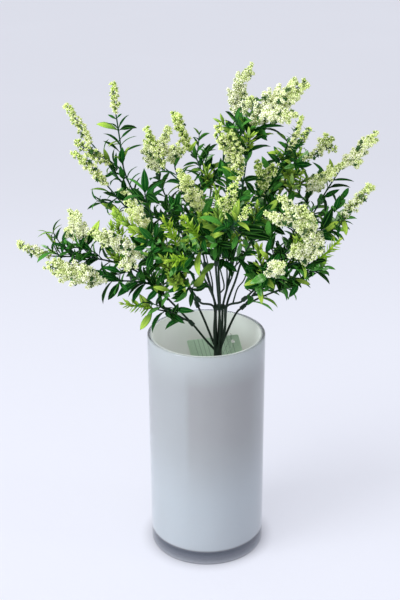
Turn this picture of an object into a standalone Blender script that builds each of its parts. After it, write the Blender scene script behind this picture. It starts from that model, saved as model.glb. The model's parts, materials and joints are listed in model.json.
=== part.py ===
"""Artificial flowering bush standing in a cased glass cylinder vase.

Units: metres, +Z up. The origin is the centre of the vase's foot, on the surface it stands on.
The tables of stems and plumes are in millimetres and are multiplied by MM where they are read.
"""
import math
import random
from collections import namedtuple

import bmesh
import bpy
from mathutils import Matrix, Vector
from mathutils.bvhtree import BVHTree

MM = 0.001
GAP = 0.3 * MM
HEAD_GAP = 0.5 * MM
HEAD_STRAIGHT = 2.5 * MM

# Vase: a clear outer wall and thick foot, lined with opal white glass
VASE_RADIUS = 60 * MM
VASE_HEIGHT = 241 * MM
VASE_SIDES = 40
CLEAR_WALL = 2.9 * MM
FOOT_THICKNESS = 16 * MM
FOOT_BEVEL = 1.5 * MM
RIM_ROUND = 0.9 * MM
LINING_WALL = 1.6 * MM
LINING_FLOOR = 2.0 * MM
LINING_FILLET = 2.0 * MM
LINING_RIM_DROP = 0.2 * MM
LINING_RIM_BEVEL = 0.4 * MM

# Moulded trunk and the sleeves that the sprays push on with
TRUNK_RADIUS = 4.3 * MM
TRUNK_ROUTE = [(5, 2, 18.8), (7, 1, 90), (10, 0, 165), (12, 0, 226)]
TRUNK_RING_PITCH = 52 * MM
FRAME_STEM_RADIUS = 1.5 * MM
FRAME_STEM_TIP = 1.25 * MM
FRAME_RING_PITCH = 20 * MM
KNOT_CENTRE = (14, 0, 269)
KNOT_SIZE = (7.6, 6.2, 2.4)
SLEEVE_RADIUS = 2.7 * MM
SLEEVE_BORE = 1.75 * MM
SLEEVE_DEPTH = 5 * MM
SLEEVE_CAP = 2.2 * MM
SLEEVE_SIDES = 8

# Twigs inside a spray: square in section, with a ring wherever a leaf pair or a side twig grows
TWIG_FOOT = 1.15 * MM
SIDE_TWIG_FOOT = 0.98 * MM
TWIG_TIP = 0.8 * MM
TWIG_BEVEL_LEVEL = 0
TWIG_RING_MERGE = 3 * MM
TWIG_OFF_STEM = 0.7 * MM

# Hang tag of thin card, bare, tied to the trunk
TAG_TOP = (6, 22, 225)
TAG_SIZE = (58 * MM, 70 * MM)
TAG_THICKNESS = 0.6 * MM
TAG_YAW = math.radians(-18)
TAG_ROLL = math.radians(15)
TAG_LEAN = math.radians(-2.5)
TAG_CORNER = 1.5 * MM
TAG_HOLE_RADIUS = 2.2 * MM
TAG_HOLE_INSET = (7.5 * MM, 7 * MM)
TIE_RADIUS = 0.5 * MM
TIE_CLEAR = 0.6 * MM
TIE_LEVEL = 206 * MM
TIE_CENTRE_X = 11.2 * MM

# Leaves: length and width, angles from the stem at the stalk and at the tip, and rings along the blade
Leaf = namedtuple("Leaf", "length width start_angle end_angle rings")
BROAD = Leaf(23 * MM, 7.6 * MM, math.radians(34), math.radians(74), ((0.30, 0.90), (0.64, 0.84)))
SMALL = Leaf(16 * MM, 4.6 * MM, math.radians(36), math.radians(78), ((0.30, 0.92), (0.64, 0.82)))
NARROW = Leaf(18 * MM, 3.2 * MM, math.radians(30), math.radians(80), ((0.30, 0.90), (0.66, 0.85)))
LEAF_KEEL = 1.2 * MM
LEAF_ROOT = 0.2 * MM
LEAF_STALK_SHARE = 0.12
LEAF_CLEARANCE = 0.35 * MM
# Nearest that a leaf pair grows to its shoot's tip, in mm
LEAF_END_MARGIN = 5
# A leaf's own change of direction, in degrees either way, and its range of size
LEAF_WANDER = 14
LEAF_SIZES = (0.86, 1.1)
# Turn round the stem, change of spread and size that a leaf tries in order until it is clear
LEAF_TURNS = ((0, 0), (22, 0), (-22, 0), (0, -14), (0, 14), (44, -8), (-44, -8), (66, 0), (-66, 0))
LEAF_TRIES = [(turn, spread, size) for size in (1.0, 0.82, 0.66) for turn, spread in LEAF_TURNS]

# Bracts of the bright new shoots
BRACT_LENGTH = 10 * MM
BRACT_WIDTH = 2.1 * MM
BRACT_WIDEST = 0.38
BRACT_PITCH = 5 * MM
BRACT_SPREAD = math.radians(52)
BRACT_WHORL = 3
BRACT_SHORTENING = 0.35
SPRIG_CORE = 1.0 * MM

# A plume's outline, as shares of its width: at its foot, how fast it fills out, how it narrows to its tip
PLUME_FOOT = 0.34
PLUME_FILL = 2.9
PLUME_NARROWING = 0.58
PLUME_NARROWING_POWER = 1.7
PLUME_STALK = 0.9 * MM
# Buds of a plume: their spacing on a hairline spike and how it grows with the plume's width, how deep the
# valleys between them are, as shares of that spacing and of the width, how far they lean, and their reach
BUD_PITCH = 3.6 * MM
BUD_PITCH_GROWTH = 0.095
BUD_ROW_SHARE = 0.72
BUD_DEPTH = 0.30
BUD_DEPTH_GROWTH = 0.07
BUD_VALLEY_LIMIT = 0.42
BUD_LEAN = 0.35
BUD_REACH = (0.90, 1.12)

Colour = namedtuple("Colour", "rgb roughness metallic")
CLEAR_GLASS = Colour((0.62, 0.68, 0.72), 0.05, 0.0)
OPAL_GLASS = Colour((0.80, 0.83, 0.82), 0.12, 0.0)
STEM_GREEN = Colour((0.012, 0.035, 0.020), 0.45, 0.0)
LEAF_GREEN = Colour((0.025, 0.14, 0.045), 0.38, 0.0)
CREAM_BUD = Colour((0.80, 0.80, 0.42), 0.60, 0.0)
NEW_GREEN = Colour((0.30, 0.50, 0.04), 0.42, 0.0)
TAG_CARD = Colour((0.42, 0.52, 0.43), 0.70, 0.0)
CLEAR_PLASTIC = Colour((0.75, 0.77, 0.76), 0.30, 0.0)

# Bare moulded stems, from the head of the trunk to the sleeve of the spray that each one carries
FRAME_STEMS = {
    "low_left": [(11, -1, 219), (-1, -2, 234), (-16, -5, 255)],
    "left": [(10, 2, 221), (0, 10, 245), (-10, 20, 265)],
    "right": [(13, 2, 219), (25, 8, 247), (39, 15, 264)],
    "mid_left": [(9, -2, 220), (8, -3, 245), (8, -3, 270), (0, -10, 279), (-9, -20, 287)],
    "centre_left": [(11, 3, 220), (10, 4, 245), (9, 3, 270), (4, 8, 290), (-1, 12, 311)],
    "front": [(12, -3, 220), (14, -4, 245), (13, -5, 270), (11, -12, 298), (10, -22, 326)],
    "crown": [(13, 1, 220), (16, 1, 245), (17, 2, 270), (22, 5, 291), (26, 6, 315)],
    "right_up": [(14, 2, 220), (19, 4, 246), (21, 5, 270), (30, 24, 288), (38, 40, 306)],
    "right_front": [(14, -2, 220), (19, -3, 246), (20, -3, 270), (30, -8, 277), (39, -15, 285)],
    "back_left": [(10, 4, 220), (9, 7, 246), (9, 10, 270), (-4, 34, 290), (-18, 52, 308)],
    "back": [(12, 4, 220), (13, 8, 246), (14, 12, 270), (13, 36, 290), (14, 58, 306)],
}

# A shoot's route, its leaves (kind, first pair, pitch of the pairs, turn) and what its tip carries
Shoot = namedtuple("Shoot", "route leaf first pitch turn head", defaults=(None,))
# A plume's or sprig's name, its points after the shoot's tip, its width, and side lobes as (route, width)
Plume = namedtuple("Plume", "name points width lobes", defaults=((),))
Sprig = namedtuple("Sprig", "name points")

SPRAYS = {
    "low_left": [
        Shoot([(-16, -5, 255), (-34, -10, 278), (-52, -16, 300), (-75, -22, 321), (-109, -26, 332),
               (-148, -28, 335)],
              BROAD, 40, 23, 20, Plume("plume_far_left", [(-163, -29, 340), (-178, -30, 348)], 8.5)),
        Shoot([(-52, -16, 300), (-71, -34, 311), (-96, -48, 317)],
              BROAD, 20, 20, 70, Plume("plume_low_left", [(-124, -54, 327), (-148, -56, 336)], 23,
                                       [([(-106, -52, 320), (-118, -60, 333)], 12)])),
        Shoot([(-16, -5, 255), (-36, -14, 269), (-53, -24, 278)],
              BROAD, 15, 17, 10, Sprig("sprig_low_left", [(-80, -36, 288)])),
        Shoot([(-109, -26, 332), (-113, -22, 341), (-115, -20, 346)],
              NARROW, 7, 20, 0, Plume("plume_left_upper", [(-122, -17, 361), (-130, -14, 375)], 13,
                                      [([(-118, -19, 352), (-134, -22, 359)], 9)])),
    ],
    "left": [
        Shoot([(-10, 20, 265), (-23, 30, 289), (-42, 38, 322), (-66, 44, 363), (-81, 47, 396), (-85, 49, 429),
               (-88, 50, 454)],
              NARROW, 26, 17, 0, Plume("plume_tall_left", [(-90, 52, 486)], 7.5)),
        Shoot([(-55, 41, 342), (-78, 34, 362), (-97, 27, 388)],
              SMALL, 14, 17, 40, Plume("plume_left_bract_low", [(-113, 21, 409), (-127, 18, 424)], 10)),
        Shoot([(-81, 47, 396), (-105, 58, 412), (-114, 62, 421)],
              NARROW, 11, 15, 60, Plume("plume_left_bract_top", [(-127, 66, 441), (-138, 68, 458)], 10)),
        Shoot([(-70, 44, 370), (-87, 42, 391), (-96, 42, 404)],
              NARROW, 12, 14, 90, Plume("plume_left_bract_high", [(-110, 40, 416), (-126, 38, 430)], 10)),
    ],
    "mid_left": [
        Shoot([(-9, -20, 287), (-24, -34, 318), (-41, -44, 349), (-50, -48, 377), (-56, -50, 404)],
              BROAD, 18, 20, 30),
        Shoot([(-41, -44, 349), (-48, -52, 360), (-51, -56, 366)],
              SMALL, 8, 20, 0, Plume("plume_mid_left", [(-62, -60, 384), (-74, -62, 402)], 17)),
        Shoot([(-30, -39, 330), (-48, -54, 342), (-59, -62, 347)],
              BROAD, 14, 18, 60, Plume("plume_left_front", [(-84, -70, 364), (-104, -74, 376)], 15,
                                       [([(-68, -66, 351), (-74, -72, 340)], 15)])),
        Shoot([(-24, -34, 318), (-25, -50, 340), (-27, -58, 356)],
              BROAD, 14, 15, 0, Sprig("sprig_mid_left", [(-38, -66, 384)])),
    ],
    "centre_left": [
        Shoot([(-1, 12, 311), (-6, 20, 338), (-12, 28, 365), (-25, 32, 389), (-39, 34, 403)],
              BROAD, 20, 21, 15, Plume("plume_upper_left_a", [(-50, 36, 426), (-58, 38, 445)], 12)),
        Shoot([(-25, 32, 389), (-30, 42, 400), (-31, 47, 404)],
              NARROW, 8, 20, 0, Plume("plume_upper_left_b", [(-37, 52, 424), (-41, 54, 441)], 12)),
        Shoot([(-8, 23, 348), (-3, 42, 384), (-7, 54, 403), (-15, 60, 414)],
              NARROW, 16, 15, 45, Plume("plume_upper_middle", [(-24, 63, 435), (-31, 64, 451)], 11)),
        Shoot([(-5, 19, 334), (-2, -6, 361), (-5, -15, 376)],
              BROAD, 15, 18, 0, Plume("plume_middle", [(-13, -21, 396), (-21, -24, 414)], 14)),
    ],
    "crown": [
        Shoot([(26, 6, 315), (33, 4, 347), (34, 0, 382), (37, -4, 408), (40, -6, 433), (43, -6, 455)],
              BROAD, 22, 21, 0, Plume("plume_crown_large", [(62, -8, 480), (93, -12, 501)], 25,
                                      [([(52, -12, 468), (70, -20, 470), (90, -26, 471)], 13)])),
        Shoot([(38, -5, 423), (32, 16, 441), (30, 24, 457)],
              SMALL, 12, 14, 30, Plume("plume_crown_top", [(30, 27, 482), (36, 28, 494), (44, 28, 506)], 14,
                                       [([(29, 26, 466), (38, 32, 482)], 10)])),
        Shoot([(33, 4, 347), (44, -4, 354), (57, -8, 368), (62, -10, 376)],
              BROAD, 12, 13, 30),
        Shoot([(36, -3, 398), (34, -22, 410), (33, -27, 414)],
              SMALL, 14, 20, 0, Plume("plume_crown_left", [(26, -34, 434), (13, -38, 463)], 14)),
    ],
    "front": [
        Shoot([(10, -22, 326), (13, -44, 357), (19, -64, 385)],
              BROAD, 14, 18, 20, Plume("plume_front", [(23, -70, 406), (26, -74, 421)], 15)),
        Shoot([(15, -51, 367), (26, -72, 382), (31, -80, 390)],
              SMALL, 12, 14, 60, Plume("plume_front_small", [(44, -88, 404)], 9)),
        Shoot([(12, -33, 340), (-5, -60, 352), (-17, -74, 350)],
              BROAD, 15, 17, 0, Sprig("sprig_front_left", [(-34, -88, 352)])),
        Shoot([(12, -40, 351), (2, -56, 362), (-6, -64, 368)],
              BROAD, 12, 14, 45, Sprig("sprig_front_top", [(-20, -73, 388)])),
    ],
    "right_front": [
        Shoot([(39, -15, 285), (56, -30, 309), (76, -50, 332), (90, -60, 340)],
              BROAD, 16, 20, 0, Plume("plume_right_large", [(96, -68, 362), (90, -76, 384), (84, -80, 402)],
                                      22, [([(97, -67, 354), (112, -68, 372)], 15),
                                           ([(92, -70, 368), (74, -74, 378)], 13)])),
        Shoot([(51, -25, 302), (54, -54, 322), (58, -74, 334)],
              BROAD, 16, 18, 40, Plume("plume_right_low", [(63, -90, 345), (68, -100, 354)], 13)),
        Shoot([(74, -48, 330), (92, -46, 328), (104, -40, 332)],
              SMALL, 12, 14, 10, Sprig("sprig_right", [(126, -36, 352)])),
    ],
    "right": [
        Shoot([(39, 15, 264), (56, 20, 271), (75, 22, 278), (94, 26, 281)],
              BROAD, 18, 19, 25),
        Shoot([(39, 15, 264), (59, 30, 284), (86, 40, 315), (109, 46, 352), (121, 46, 375), (135, 44, 400)],
              BROAD, 22, 21, 60, Plume("plume_far_right", [(153, 44, 418), (168, 44, 436)], 13,
                                       [([(144, 44, 410), (152, 36, 408)], 9)])),
        Shoot([(94, 42, 325), (119, 30, 337), (133, 22, 354)],
              BROAD, 14, 16, 20, Plume("plume_right_end", [(148, 17, 374), (161, 14, 390)], 12)),
        Shoot([(102, 45, 341), (104, 60, 358), (106, 67, 368)],
              SMALL, 12, 16, 0, Plume("plume_right_pale", [(122, 73, 378), (138, 78, 387)], 10)),
    ],
    "right_up": [
        Shoot([(38, 40, 306), (51, 54, 330), (64, 64, 356), (77, 70, 385), (85, 72, 410)],
              BROAD, 16, 19, 50, Plume("plume_twin_upper", [(92, 73, 428), (97, 74, 444)], 8.5)),
        Shoot([(77, 70, 385), (89, 58, 399), (97, 50, 407)],
              NARROW, 13, 12, 0, Plume("plume_right_white", [(112, 44, 421), (126, 40, 431)], 12)),
        Shoot([(79, 71, 391), (90, 84, 402), (94, 88, 408)],
              NARROW, 10, 11, 30, Plume("plume_twin_lower", [(106, 94, 427)], 8.5)),
        Shoot([(51, 54, 330), (66, 44, 342), (78, 38, 356), (82, 34, 366)],
              BROAD, 12, 14, 60),
        Shoot([(64, 64, 356), (61, 44, 372), (59, 38, 380)],
              SMALL, 12, 14, 20, Plume("plume_centre_right", [(51, 28, 404)], 13)),
    ],
    "back_left": [
        Shoot([(-18, 52, 308), (-30, 68, 338), (-44, 80, 366), (-50, 86, 384)],
              BROAD, 14, 19, 0, Plume("plume_back_left", [(-58, 94, 402), (-62, 98, 414)], 15)),
        Shoot([(-25, 61, 325), (-50, 68, 342), (-66, 76, 354)],
              BROAD, 15, 17, 70, Plume("plume_back_far_left", [(-80, 84, 364), (-92, 90, 374)], 14)),
    ],
    "back": [
        Shoot([(14, 58, 306), (19, 78, 336), (22, 94, 362), (24, 104, 384)],
              BROAD, 14, 19, 30, Plume("plume_back", [(28, 110, 402), (30, 114, 418)], 16)),
        Shoot([(17, 71, 325), (36, 88, 340), (54, 100, 352)],
              BROAD, 15, 17, 10, Plume("plume_back_right", [(70, 108, 366), (82, 112, 376)], 14)),
        Shoot([(17, 71, 325), (0, 92, 336), (-12, 104, 346)],
              BROAD, 14, 16, 50, Plume("plume_back_low", [(-22, 114, 358), (-28, 120, 370)], 13)),
    ],
}


class Route:
    """A smooth run through hand-chosen points, with a frame carried along it without twist."""

    STEPS = 12

    def __init__(self, points):
        knots = [Vector(p) * MM for p in points]
        knots = [knots[0] * 2 - knots[1]] + knots + [knots[-1] * 2 - knots[-2]]
        self.points = []
        for a, b, c, d in zip(knots, knots[1:], knots[2:], knots[3:]):
            for step in range(self.STEPS):
                t = step / self.STEPS
                self.points.append(0.5 * (2 * b + (c - a) * t + (2 * a - 5 * b + 4 * c - d) * t * t
                                          + (3 * b - a - 3 * c + d) * t * t * t))
        self.points.append(knots[-2])
        count = len(self.points)
        self.distances = [0.0]
        for a, b in zip(self.points, self.points[1:]):
            self.distances.append(self.distances[-1] + (b - a).length)
        self.length = self.distances[-1]
        self.tangents = [(self.points[min(i + 1, count - 1)] - self.points[max(i - 1, 0)]).normalized()
                         for i in range(count)]
        start = self.tangents[0]
        radial = start.cross(Vector((0, 0, 1)))
        if radial.length < 0.2:
            radial = Vector((1, 0, 0)) - start * start.x
        self.radials = []
        for tangent in self.tangents:
            radial = (radial - tangent * radial.dot(tangent)).normalized()
            self.radials.append(radial)

    def at(self, distance):
        """Point, tangent, radial and side direction at a distance along the run."""
        distance = min(max(distance, 0.0), self.length)
        i = 0
        while i < len(self.distances) - 2 and self.distances[i + 1] < distance:
            i += 1
        t = (distance - self.distances[i]) / (self.distances[i + 1] - self.distances[i])
        point = self.points[i].lerp(self.points[i + 1], t)
        tangent = self.tangents[i].lerp(self.tangents[i + 1], t).normalized()
        radial = self.radials[i].lerp(self.radials[i + 1], t)
        radial = (radial - tangent * radial.dot(tangent)).normalized()
        return point, tangent, radial, tangent.cross(radial)


def clear_scene():
    for obj in list(bpy.data.objects):
        bpy.data.objects.remove(obj, do_unlink=True)


def new_collection(name):
    collection = bpy.data.collections.new(name)
    bpy.context.scene.collection.children.link(collection)
    return collection


def material(name, colour):
    """One Principled material with the colour, roughness and metallic value of its part."""
    made = bpy.data.materials.new(name)
    made.use_nodes = True
    shader = made.node_tree.nodes["Principled BSDF"]
    shader.inputs["Base Color"].default_value = (*colour.rgb, 1)
    shader.inputs["Roughness"].default_value = colour.roughness
    shader.inputs["Metallic"].default_value = colour.metallic
    made.diffuse_color = (*colour.rgb, 1)
    return made


def mesh_object(name, mesh, collection):
    obj = bpy.data.objects.new(name, mesh)
    collection.objects.link(obj)
    return obj


def solid_from_bmesh(name, bm, collection):
    """Turns the bmesh's faces outwards and makes it an object."""
    bmesh.ops.recalc_face_normals(bm, faces=bm.faces)
    mesh = bpy.data.meshes.new(name)
    bm.to_mesh(mesh)
    bm.free()
    return mesh_object(name, mesh, collection)


def evaluated_copy(obj, name, collection):
    """The object as the viewport shows it, as a plain mesh object, in place of the original."""
    bpy.context.view_layer.update()
    graph = bpy.context.evaluated_depsgraph_get()
    mesh = bpy.data.meshes.new_from_object(obj.evaluated_get(graph))
    place = obj.matrix_world.copy()
    bpy.data.objects.remove(obj, do_unlink=True)
    copy = mesh_object(name, mesh, collection)
    copy.matrix_world = place
    return copy


def weld(obj):
    """Joins a converted curve's caps to its wall."""
    bm = bmesh.new()
    bm.from_mesh(obj.data)
    bmesh.ops.remove_doubles(bm, verts=bm.verts, dist=0.01 * MM)
    bmesh.ops.recalc_face_normals(bm, faces=bm.faces)
    bm.to_mesh(obj.data)
    bm.free()


def tube(name, stations, collection, resolution=1, closed=False):
    """A round bar through stations of (point, radius), with filled caps unless it closes on itself."""
    widest = max(radius for _, radius in stations)
    curve = bpy.data.curves.new(name, "CURVE")
    curve.dimensions = "3D"
    curve.bevel_depth = widest
    curve.bevel_resolution = resolution
    curve.use_fill_caps = not closed
    spline = curve.splines.new("POLY")
    spline.points.add(len(stations) - 1)
    spline.use_cyclic_u = closed
    for knot, (point, radius) in zip(spline.points, stations):
        knot.co = (*point, 1)
        knot.radius = radius / widest
    obj = bpy.data.objects.new(name, curve)
    collection.objects.link(obj)
    solid = evaluated_copy(obj, name, collection)
    weld(solid)
    return solid


def tapered_stations(route, foot, tip, pitch, last_straight=0.0):
    """Even stations along a route, with one more where its last straight run begins."""
    span = route.length - last_straight
    count = max(1, round(span / pitch))
    distances = [span * i / count for i in range(count + 1)]
    if last_straight:
        distances.append(route.length)
    return [(route.at(s)[0], foot + (tip - foot) * s / route.length) for s in distances]


def fuse(name, solids, collection):
    """One Boolean union of a collection of crossing solids, applied, with the collection emptied."""
    base, *others = solids
    if not others:
        base.name = name
        return base
    operands = new_collection(name + "_operands")
    for other in others:
        for owner in other.users_collection:
            owner.objects.unlink(other)
        operands.objects.link(other)
    union = base.modifiers.new("union", "BOOLEAN")
    union.operation = "UNION"
    union.operand_type = "COLLECTION"
    union.collection = operands
    fused = evaluated_copy(base, name, collection)
    fused.data.materials.clear()
    for other in list(operands.objects):
        bpy.data.objects.remove(other, do_unlink=True)
    bpy.data.collections.remove(operands)
    return fused


def cut(obj, cutter, name, collection):
    """Boolean difference, applied, with the cutter removed."""
    difference = obj.modifiers.new("cut", "BOOLEAN")
    difference.operation = "DIFFERENCE"
    difference.object = cutter
    result = evaluated_copy(obj, name, collection)
    bpy.data.objects.remove(cutter, do_unlink=True)
    return result


def cylinder(name, centre, direction, radius, length, collection):
    """A solid cylinder about a centre, along a direction."""
    bm = bmesh.new()
    bmesh.ops.create_cone(bm, cap_ends=True, segments=SLEEVE_SIDES, radius1=radius, radius2=radius,
                          depth=length)
    turn = direction.to_track_quat("Z", "Y").to_matrix().to_4x4()
    bmesh.ops.transform(bm, matrix=Matrix.Translation(centre) @ turn, verts=bm.verts)
    return solid_from_bmesh(name, bm, collection)


def turned(name, profile, collection):
    """Revolves an (radius, height) profile, listed down its outer side first, into a closed solid."""
    mesh = bpy.data.meshes.new(name + "_profile")
    mesh.from_pydata([(r, 0, z) for r, z in profile], [(i, i + 1) for i in range(len(profile) - 1)], [])
    obj = mesh_object(name, mesh, collection)
    screw = obj.modifiers.new("turn", "SCREW")
    screw.axis = "Z"
    screw.steps = VASE_SIDES
    screw.render_steps = VASE_SIDES
    screw.use_merge_vertices = True
    screw.merge_threshold = 0.00001
    screw.use_smooth_shade = True
    return obj


# Vase

def make_vase(collection):
    """Clear glass with a thick foot and a rounded rim, and the opal cup that lines it."""
    inner = VASE_RADIUS - CLEAR_WALL
    glass = turned("vase_glass", [
        (0, FOOT_THICKNESS),
        (inner, FOOT_THICKNESS),
        (inner, VASE_HEIGHT - RIM_ROUND),
        (inner + RIM_ROUND, VASE_HEIGHT),
        (VASE_RADIUS - RIM_ROUND, VASE_HEIGHT),
        (VASE_RADIUS, VASE_HEIGHT - RIM_ROUND),
        (VASE_RADIUS, FOOT_BEVEL),
        (VASE_RADIUS - FOOT_BEVEL, 0),
        (0, 0),
    ], collection)
    outer = inner - GAP
    cup = outer - LINING_WALL
    base = FOOT_THICKNESS + GAP
    floor = base + LINING_FLOOR
    rim = VASE_HEIGHT - LINING_RIM_DROP
    lining = turned("vase_lining", [
        (0, floor),
        (cup - LINING_FILLET, floor),
        (cup, floor + LINING_FILLET),
        (cup, rim - LINING_RIM_BEVEL),
        (cup + 0.5 * LINING_WALL, rim),
        (outer, rim - LINING_RIM_BEVEL),
        (outer, base),
        (0, base),
    ], collection)
    glass.data.materials.append(material("clear_glass", CLEAR_GLASS))
    lining.data.materials.append(material("opal_glass", OPAL_GLASS))
    return [glass, lining]


# Bush frame

def knuckle(spray):
    """Where a spray's sleeve is closed, and the direction in which it is pushed on."""
    stem = [Vector(p) * MM for p in FRAME_STEMS[spray]]
    first_route = SPRAYS[spray][0].route
    direction = (Vector(first_route[1]) * MM - stem[-2]).normalized()
    return stem[-1], direction


def make_frame(collection):
    """The trunk, the bundle of moulded stems on it and the knot where they part, as one moulding."""
    trunk_route = Route(TRUNK_ROUTE)
    stations = tapered_stations(trunk_route, TRUNK_RADIUS, TRUNK_RADIUS, TRUNK_RING_PITCH)
    solids = [tube("trunk", stations, collection, resolution=3)]
    for spray, points in FRAME_STEMS.items():
        end, direction = knuckle(spray)
        straight = [tuple((end - direction * back) / MM) for back in (2 * SLEEVE_DEPTH, SLEEVE_DEPTH, GAP)]
        route = Route(points[:-1] + straight)
        stations = tapered_stations(route, FRAME_STEM_RADIUS, FRAME_STEM_TIP, FRAME_RING_PITCH,
                                    last_straight=SLEEVE_DEPTH - GAP)
        solids.append(tube(spray + "_stem", stations, collection))
    knot = bmesh.new()
    bmesh.ops.create_uvsphere(knot, u_segments=8, v_segments=6, radius=MM)
    place = Matrix.Translation(Vector(KNOT_CENTRE) * MM) @ Matrix.Diagonal((*KNOT_SIZE, 1))
    bmesh.ops.transform(knot, matrix=place, verts=knot.verts)
    solids.append(solid_from_bmesh("knot", knot, collection))
    frame = fuse("bush_stems", solids, collection)
    frame.data.materials.append(material("stem_green", STEM_GREEN))
    return frame


# Plumes of cream buds

def plume_lobe(name, route, width, collection):
    """A spindle whose surface is raised bud by bud: every second point of its rings stands out."""
    draw = random.Random(name)
    pitch = BUD_PITCH + BUD_PITCH_GROWTH * width
    rings = max(4, round(route.length / pitch))
    sides = 2 * max(3, round(BUD_ROW_SHARE * math.pi * width / pitch / 2))
    depth = BUD_DEPTH * pitch + BUD_DEPTH_GROWTH * width
    bm = bmesh.new()
    loops = []
    for ring in range(rings + 1):
        share = ring / rings
        point, tangent, radial, side = route.at(route.length * share)
        filled = min(1.0, PLUME_FOOT + PLUME_FILL * share)
        swell = filled * (1 - PLUME_NARROWING * share ** PLUME_NARROWING_POWER)
        loop = []
        for k in range(sides):
            angle = math.tau * k / sides
            out = radial * math.cos(angle) + side * math.sin(angle)
            stands_out = ring > 0 and (ring + k) % 2 == 0
            radius = 0.5 * width * swell
            if stands_out:
                reach = radius * draw.uniform(*BUD_REACH)
                loop.append(bm.verts.new(point + out * reach + tangent * BUD_LEAN * pitch))
            else:
                reach = max(radius - depth, BUD_VALLEY_LIMIT * radius) if ring else PLUME_STALK
                loop.append(bm.verts.new(point + out * reach))
        loops.append(loop)
    for low, high in zip(loops, loops[1:]):
        for k in range(sides):
            n = (k + 1) % sides
            bm.faces.new((low[k], low[n], high[n], high[k]))
    end, tangent, _, _ = route.at(route.length)
    apex = bm.verts.new(end + tangent * pitch)
    for k in range(sides):
        bm.faces.new((loops[-1][k], loops[-1][(k + 1) % sides], apex))
    bm.faces.new(loops[0][::-1])
    bmesh.ops.triangulate(bm, faces=bm.faces[:])
    return solid_from_bmesh(name, bm, collection)


def spray_routes(spray):
    """The routes of a spray's shoots: a side shoot's foot is moved onto the nearest earlier shoot."""
    routes = []
    forks = []
    for shoot in SPRAYS[spray]:
        foot = Vector(shoot.route[0]) * MM
        forks.append([])
        if routes:
            parent, index = min(((p, i) for p, route in enumerate(routes) for i in range(len(route.points))),
                                key=lambda place: (routes[place[0]].points[place[1]] - foot).length)
            foot = routes[parent].points[index]
            forks[parent].append(routes[parent].distances[index])
        routes.append(Route([tuple(foot / MM)] + shoot.route[1:]))
    return routes, forks


def pair_distances(shoot, route):
    """Distances along a shoot at which its pairs of leaves grow."""
    count = int((route.length - (shoot.first + LEAF_END_MARGIN) * MM) / (shoot.pitch * MM)) + 1
    return [(shoot.first + shoot.pitch * k) * MM for k in range(max(0, count))]


def head_route(shoot, route):
    """The route of what a shoot carries: it starts a hair beyond the shoot's tip, in the same direction."""
    end, tangent, _, _ = route.at(route.length)
    straight = [tuple((end + tangent * ahead) / MM) for ahead in (HEAD_GAP, HEAD_GAP + HEAD_STRAIGHT)]
    return Route(straight + shoot.head.points)


def make_plume(shoot, route, collection):
    plume = shoot.head
    solids = [plume_lobe(plume.name, head_route(shoot, route), plume.width * MM, collection)]
    for number, (points, width) in enumerate(plume.lobes, 1):
        solids.append(plume_lobe(f"{plume.name}_lobe_{number}", Route(points), width * MM, collection))
    made = fuse(plume.name, solids, collection)
    made.data.materials.append(material(plume.name + "_cream", CREAM_BUD))
    return made


# Bright new shoots

def bract(name, root, direction, length, collection):
    """A three-sided bract, widest a third of the way out, with its root inside the core."""
    side = direction.orthogonal().normalized()
    other = direction.cross(side)
    bm = bmesh.new()
    foot = bm.verts.new(root)
    tip = bm.verts.new(root + direction * length)
    belt = []
    for k in range(3):
        angle = math.tau * k / 3
        out = side * math.cos(angle) + other * math.sin(angle)
        belt.append(bm.verts.new(root + direction * BRACT_WIDEST * length + out * 0.5 * BRACT_WIDTH))
    for k in range(3):
        bm.faces.new((foot, belt[k], belt[(k + 1) % 3]))
        bm.faces.new((tip, belt[(k + 1) % 3], belt[k]))
    return solid_from_bmesh(name, bm, collection)


def make_sprig(shoot, shoot_route, collection):
    """A slim core with whorls of bracts that shorten towards the tip."""
    name = shoot.head.name
    draw = random.Random(name)
    route = head_route(shoot, shoot_route)
    whorls = int((route.length - BRACT_PITCH) / BRACT_PITCH)
    distances = [0.0] + [BRACT_PITCH * (whorl + 0.8) for whorl in range(whorls)] + [route.length]
    core = [(route.at(s)[0], SPRIG_CORE * (1 - 0.5 * s / route.length)) for s in distances]
    solids = [tube(name, core, collection, resolution=TWIG_BEVEL_LEVEL)]
    for whorl in range(whorls):
        point, tangent, radial, side = route.at(distances[whorl + 1])
        for k in range(BRACT_WHORL):
            angle = math.tau * (k / BRACT_WHORL + 0.5 * (whorl % 2) / BRACT_WHORL) + draw.uniform(-0.2, 0.2)
            out = radial * math.cos(angle) + side * math.sin(angle)
            direction = (tangent * math.cos(BRACT_SPREAD) + out * math.sin(BRACT_SPREAD)).normalized()
            length = BRACT_LENGTH * (1 - BRACT_SHORTENING * whorl / whorls) * draw.uniform(0.9, 1.1)
            root = point + out * 0.2 * SPRIG_CORE
            solids.append(bract(f"{name}_{whorl}_{k}", root, direction, length, collection))
    tip, tangent, _, _ = route.at(route.length)
    solids.append(bract(name + "_tip", tip - tangent * SPRIG_CORE, tangent, 0.7 * BRACT_LENGTH, collection))
    sprig = fuse(name, solids, collection)
    sprig.data.materials.append(material(name + "_green", NEW_GREEN))
    return sprig


# Leafy sprays

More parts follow.
